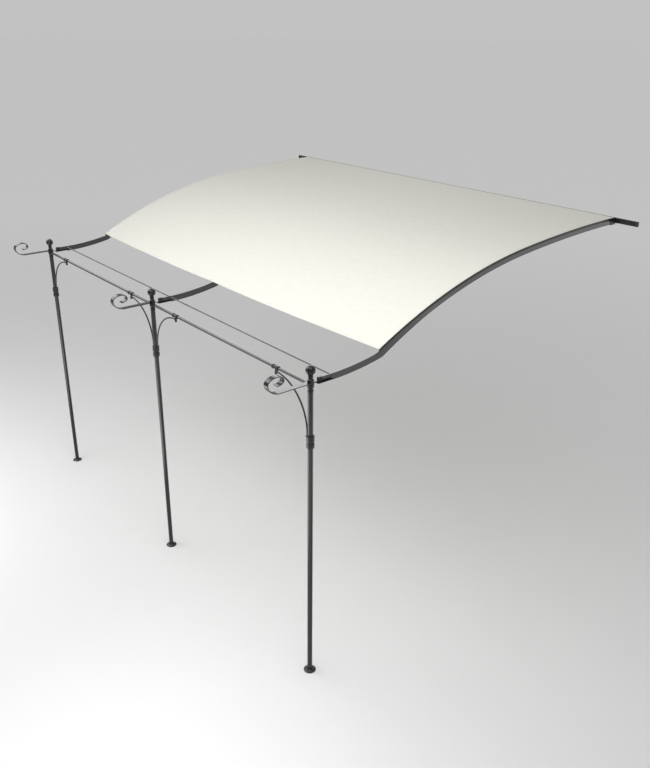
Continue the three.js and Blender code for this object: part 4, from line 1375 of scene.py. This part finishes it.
for node, diameter in (("tie_rod", TIE_ROD_DIAMETER), ("front_hem_rod", HEM_ROD_DIAMETER),
                       ("rear_hem_rod", HEM_ROD_DIAMETER)):
    place, reach = middle_of(node), size_of(node).x / 2
    bar = rod(diameter, -reach, reach, segments=ROUND, edge=BAR_EDGE)
    piece(f"round_{node}", along_x(bar, place), "iron", node)

piece("rail_tube", wall_rail(), "dark_iron", "wall_rail")
piece("left_rail_plug", rail_plug(-1), "black_plastic", "rail_plug_left")
piece("right_rail_plug", rail_plug(1), "black_plastic", "rail_plug_right")

columns = post_places.values()
for end, place in (("front", front_bolt_place), ("rear", rear_bolt_place)):
    nodes = [f"{end}_shoe_bolt_{name}" for name in POSTS]
    fixed(f"{end}_cross_bolts", cross_bolt(), [(x, *place) for x in columns], "dark_iron", *nodes)
screw_points = [(x, tongue_screw_place, 0) for x in columns]
screw_nodes = [f"tongue_screw_{name}" for name in POSTS]
fixed("tongue_screws", tongue_screw(), screw_points, "dark_iron", *screw_nodes)
screw_reach = (rear_high.x + shoe_high.x) / 2 - post_places["middle"]
plate_points = [(x + side * screw_reach, plate_front, rail_level) for x in columns for side in (-1, 1)]
fixed("plate_screws", plate_screw(), plate_points, "dark_iron")

sheet = cloth_patch(cloth_columns, cloth_rows, 0, CLOTH_THICKNESS)
canopy = piece("canopy_sheet", sheet, "canopy_cloth", "canopy")
bands = piece("canopy_hems", hem_bands(), "canopy_cloth", material=HEM_CLOTH)
pockets = joined(pocket("front", 1), pocket("rear", -1))
slings = piece("canopy_pockets", pockets, "canopy_cloth", material=HEM_CLOTH)
sewn = grown(
    STITCHES, seam_lines(), Pitch=STITCH_PITCH, Length=STITCH_LENGTH, Thread=THREAD_DIAMETER, Finish=THREAD)
seams = piece("canopy_stitches", sewn, "canopy_cloth", material=THREAD)


# Studio
FLOOR_SIZE = 240
FLOOR_CENTRE = (0, 1.5)
FLOOR_RINGS = 40
FLOOR_RING_GROWTH = 3
# Painted light: the floor's colour grows lighter with distance, from the near tone to the far tone
FLOOR_PAINTED_LIGHT_NEAR = 0.85
FLOOR_PAINTED_LIGHT_FAR = 0.99
FLOOR_PAINTED_LIGHT_RANGE = (3.0, 14.0)
FLOOR_UNEVENNESS = (0.99, 1.0)
FLOOR_ROUGHNESS = (0.75, 0.85)
FLOOR_PATCHES_PER_METRE = 1.6
HORIZON_TONE = 0.54
ZENITH_TONE = 0.548

# Softboxes over the cloth and the floor
SOFTBOXES = {
    "key_softbox": dict(place=(0.7, -0.62, 4.15), aim=(0.5, 0.5, 2.5), size=(6.2, 1.8), power=78),
    "left_floor_softbox": dict(place=(-2.8, -3.8, 2.0), aim=(-2.8, -3.8, 0.0), size=(4.0, 4.0), power=105),
    "right_floor_softbox": dict(place=(3.0, -2.4, 1.3), aim=(3.0, -2.4, 0.0), size=(4.0, 4.0), power=34),
}

# Cards that only show in gloss: radiance follows from power and size
CARDS = {
    "rear_card": dict(place=(-2.0, 3.3, 4.8), aim=(2.0, -0.15, 2.25), size=(3.5, 2.0), power=84),
    "left_card": dict(place=(-4.8, -1.45, 5.85), aim=(0.7, 0.05, 2.65), size=(6.0, 4.2), power=286),
    "low_card": dict(place=(0.0, -2.95, 0.02), aim=(0.0, -2.95, 3.0), size=(3.6, 3.3), power=120),
    "right_card": dict(place=(4.8, 3.05, 0.02), aim=(4.8, 3.05, 3.0), size=(3.0, 3.3), power=45),
    "corner_card": dict(place=(6.85, 5.9, 0.02), aim=(6.85, 5.9, 3.0), size=(1.7, 2.2), power=19),
    "standing_card": dict(place=(6.0, 7.2, 1.2), aim=(2.0, 2.0, 2.7), size=(4.5, 2.2), power=43),
    "front_card": dict(place=(4.2, -1.8, 0.02), aim=(4.2, -1.8, 3.0), size=(2.6, 2.2), power=14),
}


def studio_floor():
    """A wide pale disc with a faintly uneven tone, and painted light that makes it lighter far away."""
    rings = [FLOOR_SIZE * (k / FLOOR_RINGS) ** FLOOR_RING_GROWTH for k in range(FLOOR_RINGS + 1)]
    mesh = bmesh.new()
    centre = mesh.verts.new((*FLOOR_CENTRE, 0))
    previous = None
    for radius in rings[1:]:
        circle = arc(FLOOR_CENTRE, radius, 0, 360, ROUND)[:-1]
        ring = [mesh.verts.new((x, y, 0)) for x, y in circle]
        for k in range(ROUND):
            after = (k + 1) % ROUND
            inner = [centre] if previous is None else [previous[after], previous[k]]
            mesh.faces.new([ring[k], ring[after], *inner])
        previous = ring
    floor = loose_object("studio_floor", mesh)
    material, tree, shader = finish("pale_floor", Specular_IOR_Level=0.2)
    place = put(tree, "ShaderNodeTexCoord").outputs["Object"]
    patch = noise(tree, place, FLOOR_PATCHES_PER_METRE, detail=8.0)
    away = put(tree, "ShaderNodeVectorMath", {0: place}, operation="LENGTH").outputs["Value"]
    # Painted light: the floor's colour is lighter further from its middle
    tone = ranged(tree, away, *FLOOR_PAINTED_LIGHT_RANGE, FLOOR_PAINTED_LIGHT_NEAR, FLOOR_PAINTED_LIGHT_FAR)
    patchy_painted_light = math_node(tree, "MULTIPLY", tone, ranged(tree, patch, *NOISE_RANGE, *FLOOR_UNEVENNESS))
    roughness = ranged(tree, patch, *NOISE_RANGE, *FLOOR_ROUGHNESS)
    feed(tree, shader, {"Base Color": patchy_painted_light, "Roughness": roughness})
    floor.data.materials.append(material)


def studio_sky():
    """A plain dome, lighter overhead than at the horizon."""
    world = bpy.data.worlds.new("studio_sky")
    world.use_nodes = True
    tree = world.node_tree
    direction = put(tree, "ShaderNodeTexCoord").outputs["Generated"]
    height = put(tree, "ShaderNodeSeparateXYZ", {0: direction}).outputs["Z"]
    tone = ranged(tree, height, 0.0, 1.0, HORIZON_TONE, ZENITH_TONE)
    feed(tree, tree.nodes["Background"], {"Color": tone})
    bpy.context.scene.world = world


def lamp(name, place, aim, size, power, gloss_only=False):
    data = bpy.data.lights.new(name, "AREA")
    data.shape = "RECTANGLE"
    data.size, data.size_y = size
    data.energy = power
    obj = bpy.data.objects.new(name, data)
    obj.location = place
    obj.visible_diffuse = not gloss_only
    obj.rotation_euler = (Vector(aim) - Vector(place)).to_track_quat("-Z", "Y").to_euler()
    bpy.context.collection.objects.link(obj)


def photo_camera():
    azimuth, elevation, roll = (math.radians(v) for v in (VIEW_AZIMUTH, VIEW_ELEVATION, VIEW_ROLL))
    level = math.cos(elevation)
    forward = Vector((-math.sin(azimuth) * level, math.cos(azimuth) * level, -math.sin(elevation)))
    right = forward.cross(Vector((0, 0, 1))).normalized()
    down = forward.cross(right)
    across = right * math.cos(roll) + down * math.sin(roll)
    up = right * math.sin(roll) - down * math.cos(roll)
    data = bpy.data.cameras.new("photo_camera")
    data.sensor_width = SENSOR
    data.lens = VIEW_FOCAL_PX / FRAME_LONG_SIDE_PX * SENSOR
    data.clip_end = 2 * FLOOR_SIZE
    obj = bpy.data.objects.new("photo_camera", data)
    turn = Matrix((across, up, -forward)).transposed().to_4x4()
    obj.matrix_world = Matrix.Translation(VIEW_PLACE) @ turn
    bpy.context.collection.objects.link(obj)
    bpy.context.scene.camera = obj


studio_floor()
studio_sky()
for name, softbox in SOFTBOXES.items():
    lamp(name, **softbox)
for name, card in CARDS.items():
    lamp(name, **card, gloss_only=True)
photo_camera()
bpy.context.scene.view_settings.view_transform = "Standard"
